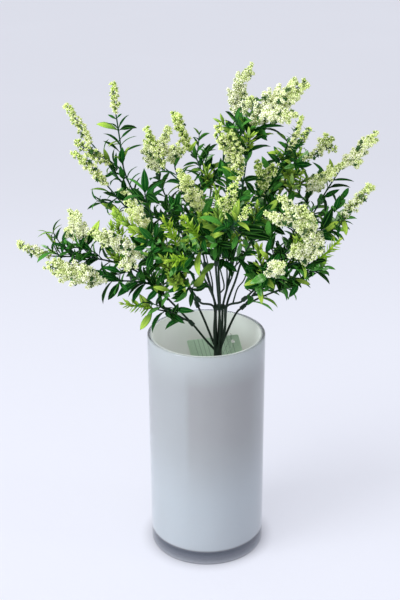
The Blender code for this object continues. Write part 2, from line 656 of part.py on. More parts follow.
def leaf_mesh(leaf, root, tangent, out, size, swell=0.0):
    """Points and triangles of an arched blade with a flat upper face and a keel along its midrib."""
    length = leaf.length * size + swell
    width = leaf.width * size + 2 * swell
    side = tangent.cross(out)
    centre = root.copy()
    last = 0.0
    points = [centre]
    rings = []
    for share, breadth in (*leaf.rings, (1.0, 0.0)):
        middle = 0.5 * (share + last)
        angle = leaf.start_angle + (leaf.end_angle - leaf.start_angle) * middle
        centre = centre + (tangent * math.cos(angle) + out * math.sin(angle)) * length * (share - last)
        last = share
        if breadth == 0:
            continue
        angle = leaf.start_angle + (leaf.end_angle - leaf.start_angle) * share
        normal = tangent * math.sin(angle) - out * math.cos(angle)
        reach = side * 0.5 * width * breadth
        rings.append([len(points) + k for k in range(3)])
        points += [centre - reach + normal * swell, centre + reach + normal * swell,
                   centre - normal * (LEAF_KEEL + swell)]
    tip = len(points)
    points.append(centre)
    triangles = []
    for k in range(3):
        n = (k + 1) % 3
        triangles.append((0, rings[0][k], rings[0][n]))
        triangles.append((tip, rings[-1][n], rings[-1][k]))
        for low, high in zip(rings, rings[1:]):
            triangles.append((low[k], high[k], high[n]))
            triangles.append((low[k], high[n], low[n]))
    return points, triangles


def leaf_slots(shoot, route, name):
    """Root, stem direction, outward direction and size of each leaf that a shoot bears."""
    draw = random.Random(name)
    slots = []
    for pair, distance in enumerate(pair_distances(shoot, route)):
        point, tangent, radial, side = route.at(distance)
        for opposite in (0, 1):
            wander = draw.uniform(-LEAF_WANDER, LEAF_WANDER)
            angle = math.radians(shoot.turn + 90 * pair + 180 * opposite + wander)
            size = draw.uniform(*LEAF_SIZES)
            slots.append((point, tangent, radial, side, angle, size))
    return slots


class Clearance:
    """Remembers the solids that stand already, and says whether a new mesh would meet one."""

    def __init__(self):
        self.trees = []

    def add(self, owner, points, triangles):
        low = Vector([min(p[i] for p in points) for i in range(3)])
        high = Vector([max(p[i] for p in points) for i in range(3)])
        self.trees.append((owner, low, high, BVHTree.FromPolygons(points, triangles)))

    def add_object(self, owner, obj):
        bpy.context.view_layer.update()
        graph = bpy.context.evaluated_depsgraph_get()
        mesh = obj.evaluated_get(graph).to_mesh()
        mesh.calc_loop_triangles()
        points = [obj.matrix_world @ v.co for v in mesh.vertices]
        self.add(owner, points, [tuple(t.vertices) for t in mesh.loop_triangles])

    def meets(self, points, triangles, skip):
        low = Vector([min(p[i] for p in points) for i in range(3)])
        high = Vector([max(p[i] for p in points) for i in range(3)])
        tree = None
        for owner, other_low, other_high, other in self.trees:
            if owner == skip:
                continue
            if any(high[i] < other_low[i] or low[i] > other_high[i] for i in range(3)):
                continue
            tree = tree or BVHTree.FromPolygons(points, triangles)
            if tree.overlap(other):
                return True
        return False


def blade_only(points, triangles, root, stalk):
    """The part of a leaf further than its stalk from its root, for the test against its own spray."""
    return [t for t in triangles if all((points[i] - root).length > stalk for i in t)]


def place_leaf(shoot, slot, spray, clearance):
    """The first of a leaf's tries that is clear of the other nodes and, if it can be, of its own spray."""
    point, tangent, radial, side, angle, size = slot
    spare = None
    for turn, spread, shrink in LEAF_TRIES:
        leaf = shoot.leaf._replace(start_angle=shoot.leaf.start_angle + math.radians(spread),
                                   end_angle=shoot.leaf.end_angle + math.radians(spread))
        turned_angle = angle + math.radians(turn)
        out = radial * math.cos(turned_angle) + side * math.sin(turned_angle)
        root = point + out * LEAF_ROOT
        wide, wide_triangles = leaf_mesh(leaf, root, tangent, out, size * shrink, LEAF_CLEARANCE)
        if clearance.meets(wide, wide_triangles, spray):
            continue
        points, triangles = leaf_mesh(leaf, root, tangent, out, size * shrink)
        blade = blade_only(points, triangles, root, LEAF_STALK_SHARE * leaf.length)
        if not clearance.meets(points, blade, None):
            return points, triangles
        spare = spare or (points, triangles)
    return spare


def make_shoot_stems(spray, collection):
    """The sleeve and the twigs of a spray, not yet fused."""
    end, direction = knuckle(spray)
    middle = end + direction * 0.5 * (SLEEVE_CAP - SLEEVE_DEPTH)
    mouth = end - direction * SLEEVE_DEPTH
    length = SLEEVE_DEPTH + SLEEVE_CAP
    sleeve = cylinder(spray + "_sleeve", middle, direction, SLEEVE_RADIUS, length, collection)
    bore = cylinder(spray + "_bore", mouth, direction, SLEEVE_BORE, 2 * SLEEVE_DEPTH, collection)
    solids = [cut(sleeve, bore, spray + "_sleeve", collection)]
    routes, forks = spray_routes(spray)
    for number, (shoot, route) in enumerate(zip(SPRAYS[spray], routes)):
        on_sleeve = (route.points[0] - end).length < MM
        start = TWIG_OFF_STEM if on_sleeve else 0.0
        foot = TWIG_FOOT if on_sleeve else SIDE_TWIG_FOOT
        distances = [start]
        for mark in sorted(pair_distances(shoot, route) + forks[number]):
            if distances[-1] + TWIG_RING_MERGE < mark < route.length - 2 * TWIG_RING_MERGE:
                distances.append(mark)
        distances += [route.length - TWIG_RING_MERGE, route.length]
        stations = [(route.at(s)[0], foot + (TWIG_TIP - foot) * s / route.length) for s in distances]
        solids.append(tube(f"{spray}_twig_{number}", stations, collection, resolution=TWIG_BEVEL_LEVEL))
    return solids


def make_leaves(spray, clearance, collection):
    solids = []
    routes, _ = spray_routes(spray)
    for number, (shoot, route) in enumerate(zip(SPRAYS[spray], routes)):
        for index, slot in enumerate(leaf_slots(shoot, route, f"{spray}_{number}")):
            placed = place_leaf(shoot, slot, spray, clearance)
            if placed is None:
                continue
            points, triangles = placed
            clearance.add(spray, points, triangles)
            mesh = bpy.data.meshes.new("leaf")
            mesh.from_pydata(points, [], triangles)
            solids.append(mesh_object(f"{spray}_leaf_{number}_{index}", mesh, collection))
    return solids


# Hang tag and its tie

def tag_axes():
    """Directions of the tag's width, of its height downwards and of its front face."""
    across = Vector((math.cos(TAG_YAW) * math.cos(TAG_ROLL), math.sin(TAG_YAW) * math.cos(TAG_ROLL),
                     math.sin(TAG_ROLL)))
    front = across.cross(Vector((0, 0, 1))).normalized()
    down = across.cross(front) * math.cos(TAG_LEAN) + front * math.sin(TAG_LEAN)
    return across, down, across.cross(down)


def tag_point(across_share, down_distance):
    across, down, _ = tag_axes()
    return Vector(TAG_TOP) * MM + across * across_share + down * down_distance


def make_tag(collection):
    """A thin card with rounded corners and a punched hole."""
    width, height = TAG_SIZE
    curve = bpy.data.curves.new("tag_card", "CURVE")
    curve.dimensions = "2D"
    curve.fill_mode = "BOTH"
    curve.extrude = 0.5 * TAG_THICKNESS
    outline = []
    for sx, sy, start in ((1, 1, 0), (-1, 1, 90), (-1, -1, 180), (1, -1, 270)):
        centre = Vector((sx * (0.5 * width - TAG_CORNER), sy * (0.5 * height - TAG_CORNER)))
        for step in range(3):
            angle = math.radians(start + 45 * step)
            outline.append(centre + TAG_CORNER * Vector((math.cos(angle), math.sin(angle))))
    hole_centre = Vector((0.5 * width - TAG_HOLE_INSET[0], 0.5 * height - TAG_HOLE_INSET[1]))
    hole = [hole_centre + TAG_HOLE_RADIUS * Vector((math.cos(a), math.sin(a)))
            for a in (math.tau * k / 12 for k in range(12))]
    for loop in (outline, hole):
        spline = curve.splines.new("POLY")
        spline.points.add(len(loop) - 1)
        spline.use_cyclic_u = True
        for knot, point in zip(spline.points, loop):
            knot.co = (point.x, point.y, 0, 1)
    card = bpy.data.objects.new("tag_card", curve)
    collection.objects.link(card)
    across, down, front = tag_axes()
    turn = Matrix((across, -down, -front)).transposed().to_4x4()
    card.matrix_world = Matrix.Translation(tag_point(0, 0.5 * height)) @ turn
    solid = evaluated_copy(card, "tag_card", collection)
    weld(solid)
    solid.data.materials.append(material("tag_card", TAG_CARD))
    return solid


def make_tie(collection):
    """A closed plastic loop, through the tag's hole, round the trunk and over the tag's top edge."""
    across, down, front = tag_axes()
    hole = tag_point(0.5 * TAG_SIZE[0] - TAG_HOLE_INSET[0], TAG_HOLE_INSET[1])
    # The card's face that looks at the trunk is on the side of minus Y
    ahead = front if front.y < 0 else -front
    reach = TRUNK_RADIUS + TIE_RADIUS + TIE_CLEAR
    x = TIE_CENTRE_X
    level = TIE_LEVEL
    loop = [
        hole - ahead * 1.8 * MM,
        hole,
        hole + ahead * 2.2 * MM + down * 2 * MM,
        Vector((x + 1.5 * reach, 1.5 * MM, level + 5 * MM)),
        Vector((x + 0.7 * reach, -0.8 * reach, level + MM)),
        Vector((x - 0.2 * reach, -1.08 * reach, level)),
        Vector((x - reach, -0.5 * reach, level)),
        Vector((x - 1.05 * reach, 0.5 * reach, level)),
        Vector((x - 0.3 * reach, 1.15 * reach, level + MM)),
        Vector((x + 0.9 * reach, 1.3 * reach, level + 5 * MM)),
        hole + ahead * 2.2 * MM - down * 6.5 * MM + across * 0.5 * MM,
        hole - down * (TAG_HOLE_INSET[1] + 1.6 * MM),
        hole - ahead * 2.0 * MM - down * 6 * MM,
    ]
    tie = tube("tag_tie", [(p, TIE_RADIUS) for p in loop], collection, closed=True)
    tie.data.materials.append(material("clear_plastic", CLEAR_PLASTIC))
    return tie


def build():
    clear_scene()
    parts = new_collection("statice_bouquet_in_vase")
    clearance = Clearance()
    fixed = make_vase(parts)
    fixed += [make_frame(parts), make_tag(parts), make_tie(parts)]
    for spray, shoots in SPRAYS.items():
        routes, _ = spray_routes(spray)
        for shoot, route in zip(shoots, routes):
            if isinstance(shoot.head, Plume):
                fixed.append(make_plume(shoot, route, parts))
            elif isinstance(shoot.head, Sprig):
                fixed.append(make_sprig(shoot, route, parts))
    for obj in fixed:
        clearance.add_object(obj.name, obj)
    stems = {spray: make_shoot_stems(spray, parts) for spray in SPRAYS}
    for spray, solids in stems.items():
        for solid in solids:
            clearance.add_object(spray, solid)
    for spray, solids in stems.items():
        leaves = make_leaves(spray, clearance, parts)
        node = fuse("spray_" + spray, solids + leaves, parts)
        node.data.materials.append(material(f"spray_{spray}_green", LEAF_GREEN))
    bpy.context.view_layer.update()


build()
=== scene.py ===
"""Looks of an artificial flowering bush that stands in a cased glass cylinder vase.

Metres, +Z up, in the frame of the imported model. The tables of stems, sprays, twigs and leaves are in
millimetres and degrees.
"""

import json
import math
import random
from collections import namedtuple

import bmesh
import bpy
from mathutils import Matrix, Vector
from mathutils.bvhtree import BVHTree
from mathutils.kdtree import KDTree

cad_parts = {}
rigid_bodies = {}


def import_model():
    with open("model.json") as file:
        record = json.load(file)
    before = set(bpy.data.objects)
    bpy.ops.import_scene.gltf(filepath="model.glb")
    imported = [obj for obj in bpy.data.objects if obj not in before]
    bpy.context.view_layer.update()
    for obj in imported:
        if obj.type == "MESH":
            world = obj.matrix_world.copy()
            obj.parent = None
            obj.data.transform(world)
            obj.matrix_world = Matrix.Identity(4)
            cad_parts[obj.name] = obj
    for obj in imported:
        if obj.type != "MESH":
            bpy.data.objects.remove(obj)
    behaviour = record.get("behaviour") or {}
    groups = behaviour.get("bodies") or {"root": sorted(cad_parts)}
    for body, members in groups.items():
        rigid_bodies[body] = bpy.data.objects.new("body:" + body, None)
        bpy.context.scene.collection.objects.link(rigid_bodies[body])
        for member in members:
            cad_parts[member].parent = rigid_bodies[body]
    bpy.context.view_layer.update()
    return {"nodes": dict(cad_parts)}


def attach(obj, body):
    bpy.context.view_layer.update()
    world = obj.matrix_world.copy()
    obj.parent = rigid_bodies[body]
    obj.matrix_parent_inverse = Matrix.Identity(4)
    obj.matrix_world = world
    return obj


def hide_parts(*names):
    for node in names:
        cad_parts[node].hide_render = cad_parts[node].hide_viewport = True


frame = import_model()
MM = 0.001


# Camera
# The picture was taken from a metre in front of the vase, above the bush, looking a little down on it.
# A long lens on an upright frame; the tilt and turn follow the vase's rim and foot.

CAMERA_PLACE = Vector((0, -1.063, 0.7256))
CAMERA_PITCH = 0.3996
CAMERA_YAW = -0.0058
CAMERA_ROLL = -0.0063
SENSOR_HEIGHT_MM = 36
PHOTO_HEIGHT_PIXELS = 600
FOCAL_PIXELS = 1149.1

ahead = Vector((math.sin(CAMERA_YAW) * math.cos(CAMERA_PITCH), math.cos(CAMERA_YAW) * math.cos(CAMERA_PITCH),
                -math.sin(CAMERA_PITCH)))
level_right = ahead.cross(Vector((0, 0, 1))).normalized()
level_up = level_right.cross(ahead)
camera_right = level_right * math.cos(CAMERA_ROLL) + level_up * math.sin(CAMERA_ROLL)
camera_up = level_up * math.cos(CAMERA_ROLL) - level_right * math.sin(CAMERA_ROLL)
lens = bpy.data.cameras.new("camera")
lens.sensor_fit = "VERTICAL"
lens.sensor_height = SENSOR_HEIGHT_MM
lens.lens = FOCAL_PIXELS / PHOTO_HEIGHT_PIXELS * SENSOR_HEIGHT_MM
camera = bpy.data.objects.new("camera", lens)
camera.matrix_world = (Matrix.Translation(CAMERA_PLACE)
                       @ Matrix((camera_right, camera_up, -ahead)).transposed().to_4x4())
bpy.context.scene.collection.objects.link(camera)
bpy.context.scene.camera = camera


# Floor and light
# A wide pale floor with a faint cool tint. The main light is high at the left, in front, and wide enough for
# soft shadows; a window-sized panel at the left and a weaker one at the right give the glass its sheen.

FLOOR_RADIUS = 14
FLOOR_COLOUR = (0.318, 0.325, 0.362)
FAR_FLOOR_COLOUR = (0.19, 0.195, 0.217)
ROOM_COLOUR = (0.93, 0.94, 1.0)
ROOM_STRENGTH = 0.60
MAIN_LIGHT_WAY = (-0.42, -0.36, 0.84)
MAIN_LIGHT_STRENGTH = 1.25
MAIN_LIGHT_WIDTH = math.radians(40)
LIGHTS_AIM = (0, 0, 0.2)
FLOOR_GLOW = 1.6
# Where the floor's glow fades in round the vase's foot: a painted shade, so that the vase keeps its own
# shadow there
FOOT_SHADE_RADII = (0.045, 0.075)
FOOT_SHADE_COLOUR = (0.05, 0.05, 0.06)
FAR_FLOOR_REACH = (0.0, 1.6)


class Socket:
    """A node's output: arithmetic on it adds the tree's Math nodes."""

    def __init__(self, tree, socket):
        self.tree = tree
        self.socket = socket

    def maths(self, operation, first, second):
        return self.tree.add("ShaderNodeMath", {"operation": operation}, {0: first, 1: second})[0]

    def apply(self, operation, second=0):
        """This value through a Math node that Python has no operator for."""
        return self.maths(operation, self, second)

    def __add__(self, other):
        return self.maths("ADD", self, other)

    def __radd__(self, other):
        return self.maths("ADD", other, self)

    def __sub__(self, other):
        return self.maths("SUBTRACT", self, other)

    def __rsub__(self, other):
        return self.maths("SUBTRACT", other, self)

    def __mul__(self, other):
        return self.maths("MULTIPLY", self, other)

    def __rmul__(self, other):
        return self.maths("MULTIPLY", other, self)

    def __truediv__(self, other):
        return self.maths("DIVIDE", self, other)

    def __pow__(self, other):
        return self.maths("POWER", self, other)

    def step(self, low, high):
        """0 below low, 1 above high and a smooth rise between; turned round if low is above high."""
        ends = {"To Min": 0.0, "To Max": 1.0}
        if low > high:
            low, high = high, low
            ends = {"To Min": 1.0, "To Max": 0.0}
        sockets = {"Value": self, "From Min": low, "From Max": high, **ends}
        return self.tree.add("ShaderNodeMapRange", {"interpolation_type": "SMOOTHSTEP"}, sockets)["Result"]


class Made:
    """A node that has been added: its outputs by name or by number."""

    def __init__(self, tree, node):
        self.tree = tree
        self.node = node

    def __getitem__(self, key):
        if isinstance(key, int):
            return Socket(self.tree, self.node.outputs[key])
        return Socket(self.tree, next(s for s in self.node.outputs if s.name == key and s.enabled))


class Tree:
    """A shader or geometry node tree: add makes any node, and the other methods are short forms."""

    def __init__(self, nodes):
        self.nodes = nodes

    def add(self, kind, settings=None, sockets=None):
        """A node of a kind, with its settings and then its sockets' values or links."""
        node = self.nodes.nodes.new(kind)
        for name, value in (settings or {}).items():
            if name == "stops":
                ramp = node.color_ramp
                while len(ramp.elements) < len(value):
                    ramp.elements.new(0.5)
                for element, (position, colour) in zip(ramp.elements, value):
                    element.position = position
                    element.color = (*colour, 1)
            else:
                setattr(node, name, value)
        for key, value in (sockets or {}).items():
            socket = node.inputs[key] if isinstance(key, int) else next(
                s for s in node.inputs if s.name == key and s.enabled)
            for one in value if isinstance(value, list) else [value]:
                if isinstance(one, Socket):
                    self.nodes.links.new(one.socket, socket)
                elif one is not None:
                    socket.default_value = (*one, 1) if socket.type == "RGBA" and len(one) == 3 else one
        return Made(self, node)

    def ramp(self, factor, *stops):
        return self.add("ShaderNodeValToRGB", {"stops": stops}, {"Fac": factor})["Color"]

    def mix(self, factor, first, second, blend="MIX"):
        """Two colours mixed."""
        node = self.nodes.nodes.new("ShaderNodeMix")
        node.data_type = "RGBA"
        node.blend_type = blend
        for socket, value in ((node.inputs[0], factor), (node.inputs[6], first), (node.inputs[7], second)):
            if isinstance(value, Socket):
                self.nodes.links.new(value.socket, socket)
            else:
                socket.default_value = (*value, 1) if isinstance(value, tuple) else value
        return Socket(self, node.outputs[2])

    def noise(self, coordinates, scale, detail=2.0, roughness=0.5):
        return self.add("ShaderNodeTexNoise", {}, {"Vector": coordinates, "Scale": scale, "Detail": detail,
                                                   "Roughness": roughness})["Fac"]

    def split(self, vector):
        """A vector's parts, by the names X, Y and Z."""
        return self.add("ShaderNodeSeparateXYZ", {}, {"Vector": vector})

    def vector(self, x, y, z):
        return self.add("ShaderNodeCombineXYZ", {}, {"X": x, "Y": y, "Z": z})[0]

    def named(self, name, kind="FLOAT"):
        """In a geometry tree, what each point carries under a name."""
        return self.add("GeometryNodeInputNamedAttribute", {"data_type": kind}, {"Name": name})["Attribute"]

    def attribute(self, name):
        """In a material, what the surface carries under a name."""
        return self.add("ShaderNodeAttribute", {"attribute_name": name})["Fac"]

    def bump(self, height, distance, strength=1.0):
        return self.add("ShaderNodeBump", {}, {"Height": height, "Distance": distance,
                                               "Strength": strength})["Normal"]


def new_material(name, fixed):
    """A Principled material: its tree, its shader, and the object coordinates, with the fixed values set."""
    made = bpy.data.materials.new(name)
    made.use_nodes = True
    tree = Tree(made.node_tree)
    shader = made.node_tree.nodes["Principled BSDF"]
    for key, value in fixed.items():
        shader.inputs[key].default_value = (*value, 1) if isinstance(value, tuple) else value
    place = tree.add("ShaderNodeTexCoord")["Object"]

    def feed(**links):
        for key, value in links.items():
            made.node_tree.links.new(value.socket, shader.inputs[key.replace("_", " ")])

    return made, tree, feed, place


def link(obj):
    bpy.context.scene.collection.objects.link(obj)
    return obj


def off_axis(parts):
    """How far a place, given by its parts, is from the vase's axis."""
    return (parts["X"] * parts["X"] + parts["Y"] * parts["Y"]) ** 0.5


floor_paint, tree, feed, place = new_material("floor_paint", {
    "Roughness": 0.7, "Specular IOR Level": 0.25, "Emission Strength": FLOOR_GLOW})
cloud = tree.noise(place, 2.2, 3)
parts = tree.split(place)
back = parts["Y"].step(*FAR_FLOOR_REACH)
feed(Base_Color=tree.mix(back * (0.9 + 0.2 * cloud), FLOOR_COLOUR, FAR_FLOOR_COLOUR),
     Emission_Color=tree.mix(off_axis(parts).step(*FOOT_SHADE_RADII), FOOT_SHADE_COLOUR, FLOOR_COLOUR),
     Normal=tree.bump(tree.noise(place, 160, 2), 0.0004, 0.3))
slab = bmesh.new()
bmesh.ops.create_circle(slab, cap_ends=True, segments=96, radius=FLOOR_RADIUS)
floor_mesh = bpy.data.meshes.new("floor")
slab.to_mesh(floor_mesh)
slab.free()
floor_mesh.materials.append(floor_paint)
floor = link(bpy.data.objects.new("floor", floor_mesh))

world = bpy.data.worlds.new("room")
bpy.context.scene.world = world
world.use_nodes = True
world.node_tree.nodes["Background"].inputs["Color"].default_value = (*ROOM_COLOUR, 1)
world.node_tree.nodes["Background"].inputs["Strength"].default_value = ROOM_STRENGTH


def soft_light(name, position, size, power, colour):
    """A rectangular lamp, aimed at the vase."""
    lamp = bpy.data.lights.new(name, "AREA")
    lamp.shape = "RECTANGLE"
    lamp.size, lamp.size_y = size
    lamp.energy = power
    lamp.color = colour
    obj = link(bpy.data.objects.new(name, lamp))
    obj.location = position
    obj.rotation_euler = (Vector(LIGHTS_AIM) - Vector(position)).to_track_quat("-Z", "Y").to_euler()


main_light = bpy.data.lights.new("main_light", "SUN")
main_light.energy = MAIN_LIGHT_STRENGTH
main_light.angle = MAIN_LIGHT_WIDTH
main_light.color = (1.0, 0.985, 0.95)
main_lamp = link(bpy.data.objects.new("main_light", main_light))
main_lamp.rotation_euler = Vector(MAIN_LIGHT_WAY).to_track_quat("Z", "Y").to_euler()
soft_light("window_light", position=(-3.2, -1.8, 2.0), size=(1.8, 3.2), power=98, colour=(0.94, 0.97, 1.0))
soft_light("fill_light", position=(3.4, -1.0, 1.9), size=(0.6, 2.4), power=12, colour=(0.90, 0.94, 1.0))
bpy.context.scene.view_settings.view_transform = "Standard"


# Vase
# A hand-blown cylinder of clear glass with a thick foot and a fire-polished rim, cased inside with opal
# white glass that stops just short of the rim. Both layers are turned from their profiles, and the opal one
# reaches a hair into the clear one, to which it is fused.

VASE_RADIUS = 60 * MM
VASE_HEIGHT = 241 * MM
CLEAR_WALL = 2.9 * MM
FOOT_THICKNESS = 16 * MM
FOOT_BEVEL = 1.5 * MM
RIM_ROUND = 0.9 * MM
LAYER_GAP = 0.3 * MM
LAYER_FUSED = 0.05 * MM
LINING_WALL = 1.6 * MM
LINING_FLOOR = 2.0 * MM
LINING_FILLET = 2.0 * MM
LINING_RIM_DROP = 0.2 * MM
LINING_RIM_ROUND = 0.4 * MM
VASE_STEPS = 144
# Painted light and shade in the clear glass by height, from the dark foot through its bright bands, as a
# share of FOOT_BAND
FOOT_BAND = 20 * MM
FOOT_PAINTED_LIGHT_AND_SHADE = ((0.0, (0.10, 0.12, 0.15)), (0.05, (0.26, 0.30, 0.36)), (0.10, (0.92, 0.95, 1.0)),
              (0.20, (0.74, 0.80, 0.88)), (0.45, (0.43, 0.48, 0.58)), (0.76, (0.16, 0.20, 0.27)),
              (0.81, (0.90, 0.94, 0.98)))
# A painted dark edge on the rim, where the glass is seen edge-on, between these heights
RIM_PAINTED_DARK = (0.22, 0.20, 0.30)
RIM_PAINTED_DARK_HEIGHTS = (0.222, 0.238)
# The opal glass: a warm grey painted shade in its upper half, strongest in a streak right of the middle
PAINTED_SHADE_COLOUR = (0.37, 0.345, 0.33)
PAINTED_SHADE_RISE = (0.06, 0.165)
PAINTED_SHADE_FALL = (0.236, 0.200)
SHADE_STREAK_LEFT = (-0.023, -0.015)
SHADE_STREAK_RIGHT = (0.054, 0.040)
PALE_RIM = (0.66, 0.70, 0.68)
PALE_RIM_HEIGHTS = (0.19, 0.235)
# The opal's inner face has a painted glow, brighter towards the rim, between these heights
PAINTED_GLOW_HEIGHTS = (0.02, 0.23)


def arc(centre, radius, start, end, steps=5):
    """Points of a round corner in a profile, from one angle to another, in degrees."""
    angles = [math.radians(start + (end - start) * k / steps) for k in range(steps + 1)]
    return [(centre[0] + radius * math.cos(a), centre[1] + radius * math.sin(a)) for a in angles]


def turned(name, profile, skin, steps):
    """Turns a closed (radius, height) profile, which starts and ends on the axis, about Z."""
    bm = bmesh.new()
    rings = []
    for radius, height in profile:
        if radius == 0:
            rings.append([bm.verts.new((0, 0, height))])
        else:
            turns = [math.tau * k / steps for k in range(steps)]
            rings.append([bm.verts.new((radius * math.cos(t), radius * math.sin(t), height)) for t in turns])
    for low, high in zip(rings, rings[1:]):
        for k in range(steps):
            n = (k + 1) % steps
            corners = [low[k % len(low)], low[n % len(low)], high[n % len(high)], high[k % len(high)]]
            bm.faces.new(list(dict.fromkeys(corners)))
    bmesh.ops.recalc_face_normals(bm, faces=bm.faces)
    mesh = bpy.data.meshes.new(name)
    bm.to_mesh(mesh)
    bm.free()
    mesh.materials.append(skin)
    mesh.shade_smooth()
    mesh.set_sharp_from_angle(angle=math.radians(50))
    return link(bpy.data.objects.new(name, mesh))


clear_glass, tree, feed, place = new_material("clear_glass", {"Transmission Weight": 0.80, "IOR": 1.47})
height = tree.split(place)["Z"]
# Painted light and shade: the clear glass's colour by height, a dark foot with bright bands
body = tree.ramp(height * (1 / FOOT_BAND), *FOOT_PAINTED_LIGHT_AND_SHADE)
# A painted dark edge at the rim, where the glass is seen edge-on
edge = tree.add("ShaderNodeLayerWeight", {}, {"Blend": 0.5})["Facing"].step(0.55, 0.95)
feed(Base_Color=tree.mix(edge * height.step(*RIM_PAINTED_DARK_HEIGHTS) * 0.5, body, RIM_PAINTED_DARK),
     Roughness=0.012 + 0.02 * tree.noise(place, 35, 2),
     Normal=tree.bump(tree.noise(place, 22, 2), 0.0006, 0.12))

opal_glass, tree, feed, place = new_material("opal_glass", {"Coat Weight": 0.35, "Emission Strength": 0.25})
swirl = tree.noise(place, 9, 3, 0.55)
parts = tree.split(place)
inner = VASE_RADIUS - CLEAR_WALL
inside = off_axis(parts).step(inner - 0.6 * LINING_WALL, inner - LINING_WALL)
# The inner face's emission is a painted glow, brighter towards the rim
glow = tree.mix(parts["Z"].step(*PAINTED_GLOW_HEIGHTS), (0.45, 0.48, 0.44), (0.84, 0.88, 0.83))
casing = tree.ramp(swirl, (0.3, (0.62, 0.68, 0.71)), (0.7, (0.67, 0.72, 0.75)))
casing = tree.mix(parts["Z"].step(*PALE_RIM_HEIGHTS), casing, PALE_RIM)
# Painted shade on the opal: warm grey in its upper half, strongest in a streak right of the middle
shade_streak = parts["X"].step(*SHADE_STREAK_LEFT) * (0.4 + 0.6 * parts["X"].step(*SHADE_STREAK_RIGHT))
painted_shade = parts["Z"].step(*PAINTED_SHADE_RISE) * parts["Z"].step(*PAINTED_SHADE_FALL) * (0.85 + 0.3 * swirl)
feed(Base_Color=tree.mix(painted_shade * (0.55 + 0.40 * shade_streak), casing, PAINTED_SHADE_COLOUR),
     Emission_Color=tree.mix(inside, (0.0, 0.0, 0.0), glow),
     Roughness=0.16 + 0.12 * swirl,
     Normal=tree.bump(swirl, 0.0012, 0.1))

foot_corner = (VASE_RADIUS - FOOT_BEVEL, FOOT_BEVEL)
glass_body = turned("vase_glass_body", [
    (0, FOOT_THICKNESS),
    (inner, FOOT_THICKNESS),
    *arc((inner + RIM_ROUND, VASE_HEIGHT - RIM_ROUND), RIM_ROUND, 180, 90),
    *arc((VASE_RADIUS - RIM_ROUND, VASE_HEIGHT - RIM_ROUND), RIM_ROUND, 90, 0),
    *arc(foot_corner, FOOT_BEVEL, 0, -90),
    (0, 0),
], clear_glass, VASE_STEPS)
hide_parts("vase_glass")
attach(glass_body, "root")

cup_outer = inner + LAYER_FUSED
cup_inner = inner - LAYER_GAP - LINING_WALL
cup_base = FOOT_THICKNESS - LAYER_FUSED
cup_floor = FOOT_THICKNESS + LAYER_GAP + LINING_FLOOR
cup_rim = VASE_HEIGHT - LINING_RIM_DROP
opal_cup = turned("vase_opal_cup", [
    (0, cup_floor),
    *arc((cup_inner - LINING_FILLET, cup_floor + LINING_FILLET), LINING_FILLET, -90, 0),
    *arc((cup_inner + LINING_RIM_ROUND, cup_rim - LINING_RIM_ROUND), LINING_RIM_ROUND, 180, 90),
    *arc((cup_outer - LINING_RIM_ROUND, cup_rim - LINING_RIM_ROUND), LINING_RIM_ROUND, 90, 0),
    (cup_outer, cup_base),
    (0, cup_base),
], opal_glass, VASE_STEPS)
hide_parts("vase_lining")
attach(opal_cup, "root")


# Bush frame
# One dark plastic moulding: a trunk that stands on the vase's floor, eleven bare stems bundled on it, the
# knot where they part, and thin side stems. Each is a run through its own points, thickened along its
# length. The next section puts it together, because a stem's end points the way its spray goes.

TRUNK_RADIUS = 4.3 * MM
TRUNK_ROUTE = [(5, 2, 18.8), (7, 1, 90), (10, 0, 165), (12, 0, 226)]
FRAME_STEM_RADIUS = 1.25 * MM
FRAME_STEM_TIP = 1.1 * MM
KNOT_CENTRE = (14, 0, 269)
KNOT_SIZE = (7.6, 6.2, 2.4)
KNOT_SIDES = 20
KNOT_RINGS = 12
SLEEVE_DEPTH = 5 * MM
STEM_EASE = 9
FRAME_STEMS = {
    "low_left": [(11, -1, 219), (-1, -2, 234), (-16, -5, 255)],
    "left": [(10, 2, 221), (0, 10, 245), (-10, 20, 265)],
    "right": [(13, 2, 219), (25, 8, 247), (39, 15, 264)],
    "mid_left": [(9, -2, 220), (8, -3, 245), (8, -3, 270), (0, -10, 279), (-9, -20, 287)],
    "centre_left": [(11, 3, 220), (10, 4, 245), (9, 3, 270), (4, 8, 290), (-1, 12, 311)],
    "front": [(12, -3, 220), (14, -4, 245), (13, -5, 270), (11, -12, 298), (10, -22, 326)],
    "crown": [(13, 1, 220), (16, 1, 245), (17, 2, 270), (22, 5, 291), (26, 6, 315)],
    "right_up": [(14, 2, 220), (19, 4, 246), (21, 5, 270), (30, 24, 288), (38, 40, 306)],
    "right_front": [(14, -2, 220), (19, -3, 246), (20, -3, 270), (30, -8, 277), (39, -15, 285)],
    "back_left": [(10, 4, 220), (9, 7, 246), (9, 10, 270), (-4, 34, 290), (-18, 52, 308)],
    "back": [(12, 4, 220), (13, 8, 246), (14, 12, 270), (13, 36, 290), (14, 58, 306)],
}
# Thin side stems that rise from the bundle into the leaves, each from the nearest bare stem
FRAME_TWIGS = [
    [(24, -5, 281), (31, -10, 293), (37, -14, 303), (40, -16, 313)],
    [(16, -5, 287), (18, -6, 293), (13, -8, 317), (11, -8, 331)],
    [(9, 0, 284), (6, 0, 297), (2, -4, 317), (-1, -8, 333)],
    [(22, 2, 288), (26, 0, 302), (31, -6, 322), (33, -10, 336)],
    [(27, 0, 305), (35, -4, 322), (43, -8, 339), (49, -12, 349)],
    [(17, 2, 285), (21, 2, 303), (20, -2, 324), (22, -6, 340)],
    [(7, 2, 280), (0, 4, 303), (-6, 0, 322)],
]
FRAME_TWIG_GIRTHS = (0.85 * MM, 0.6 * MM)
TRUNK_STEPS = 30


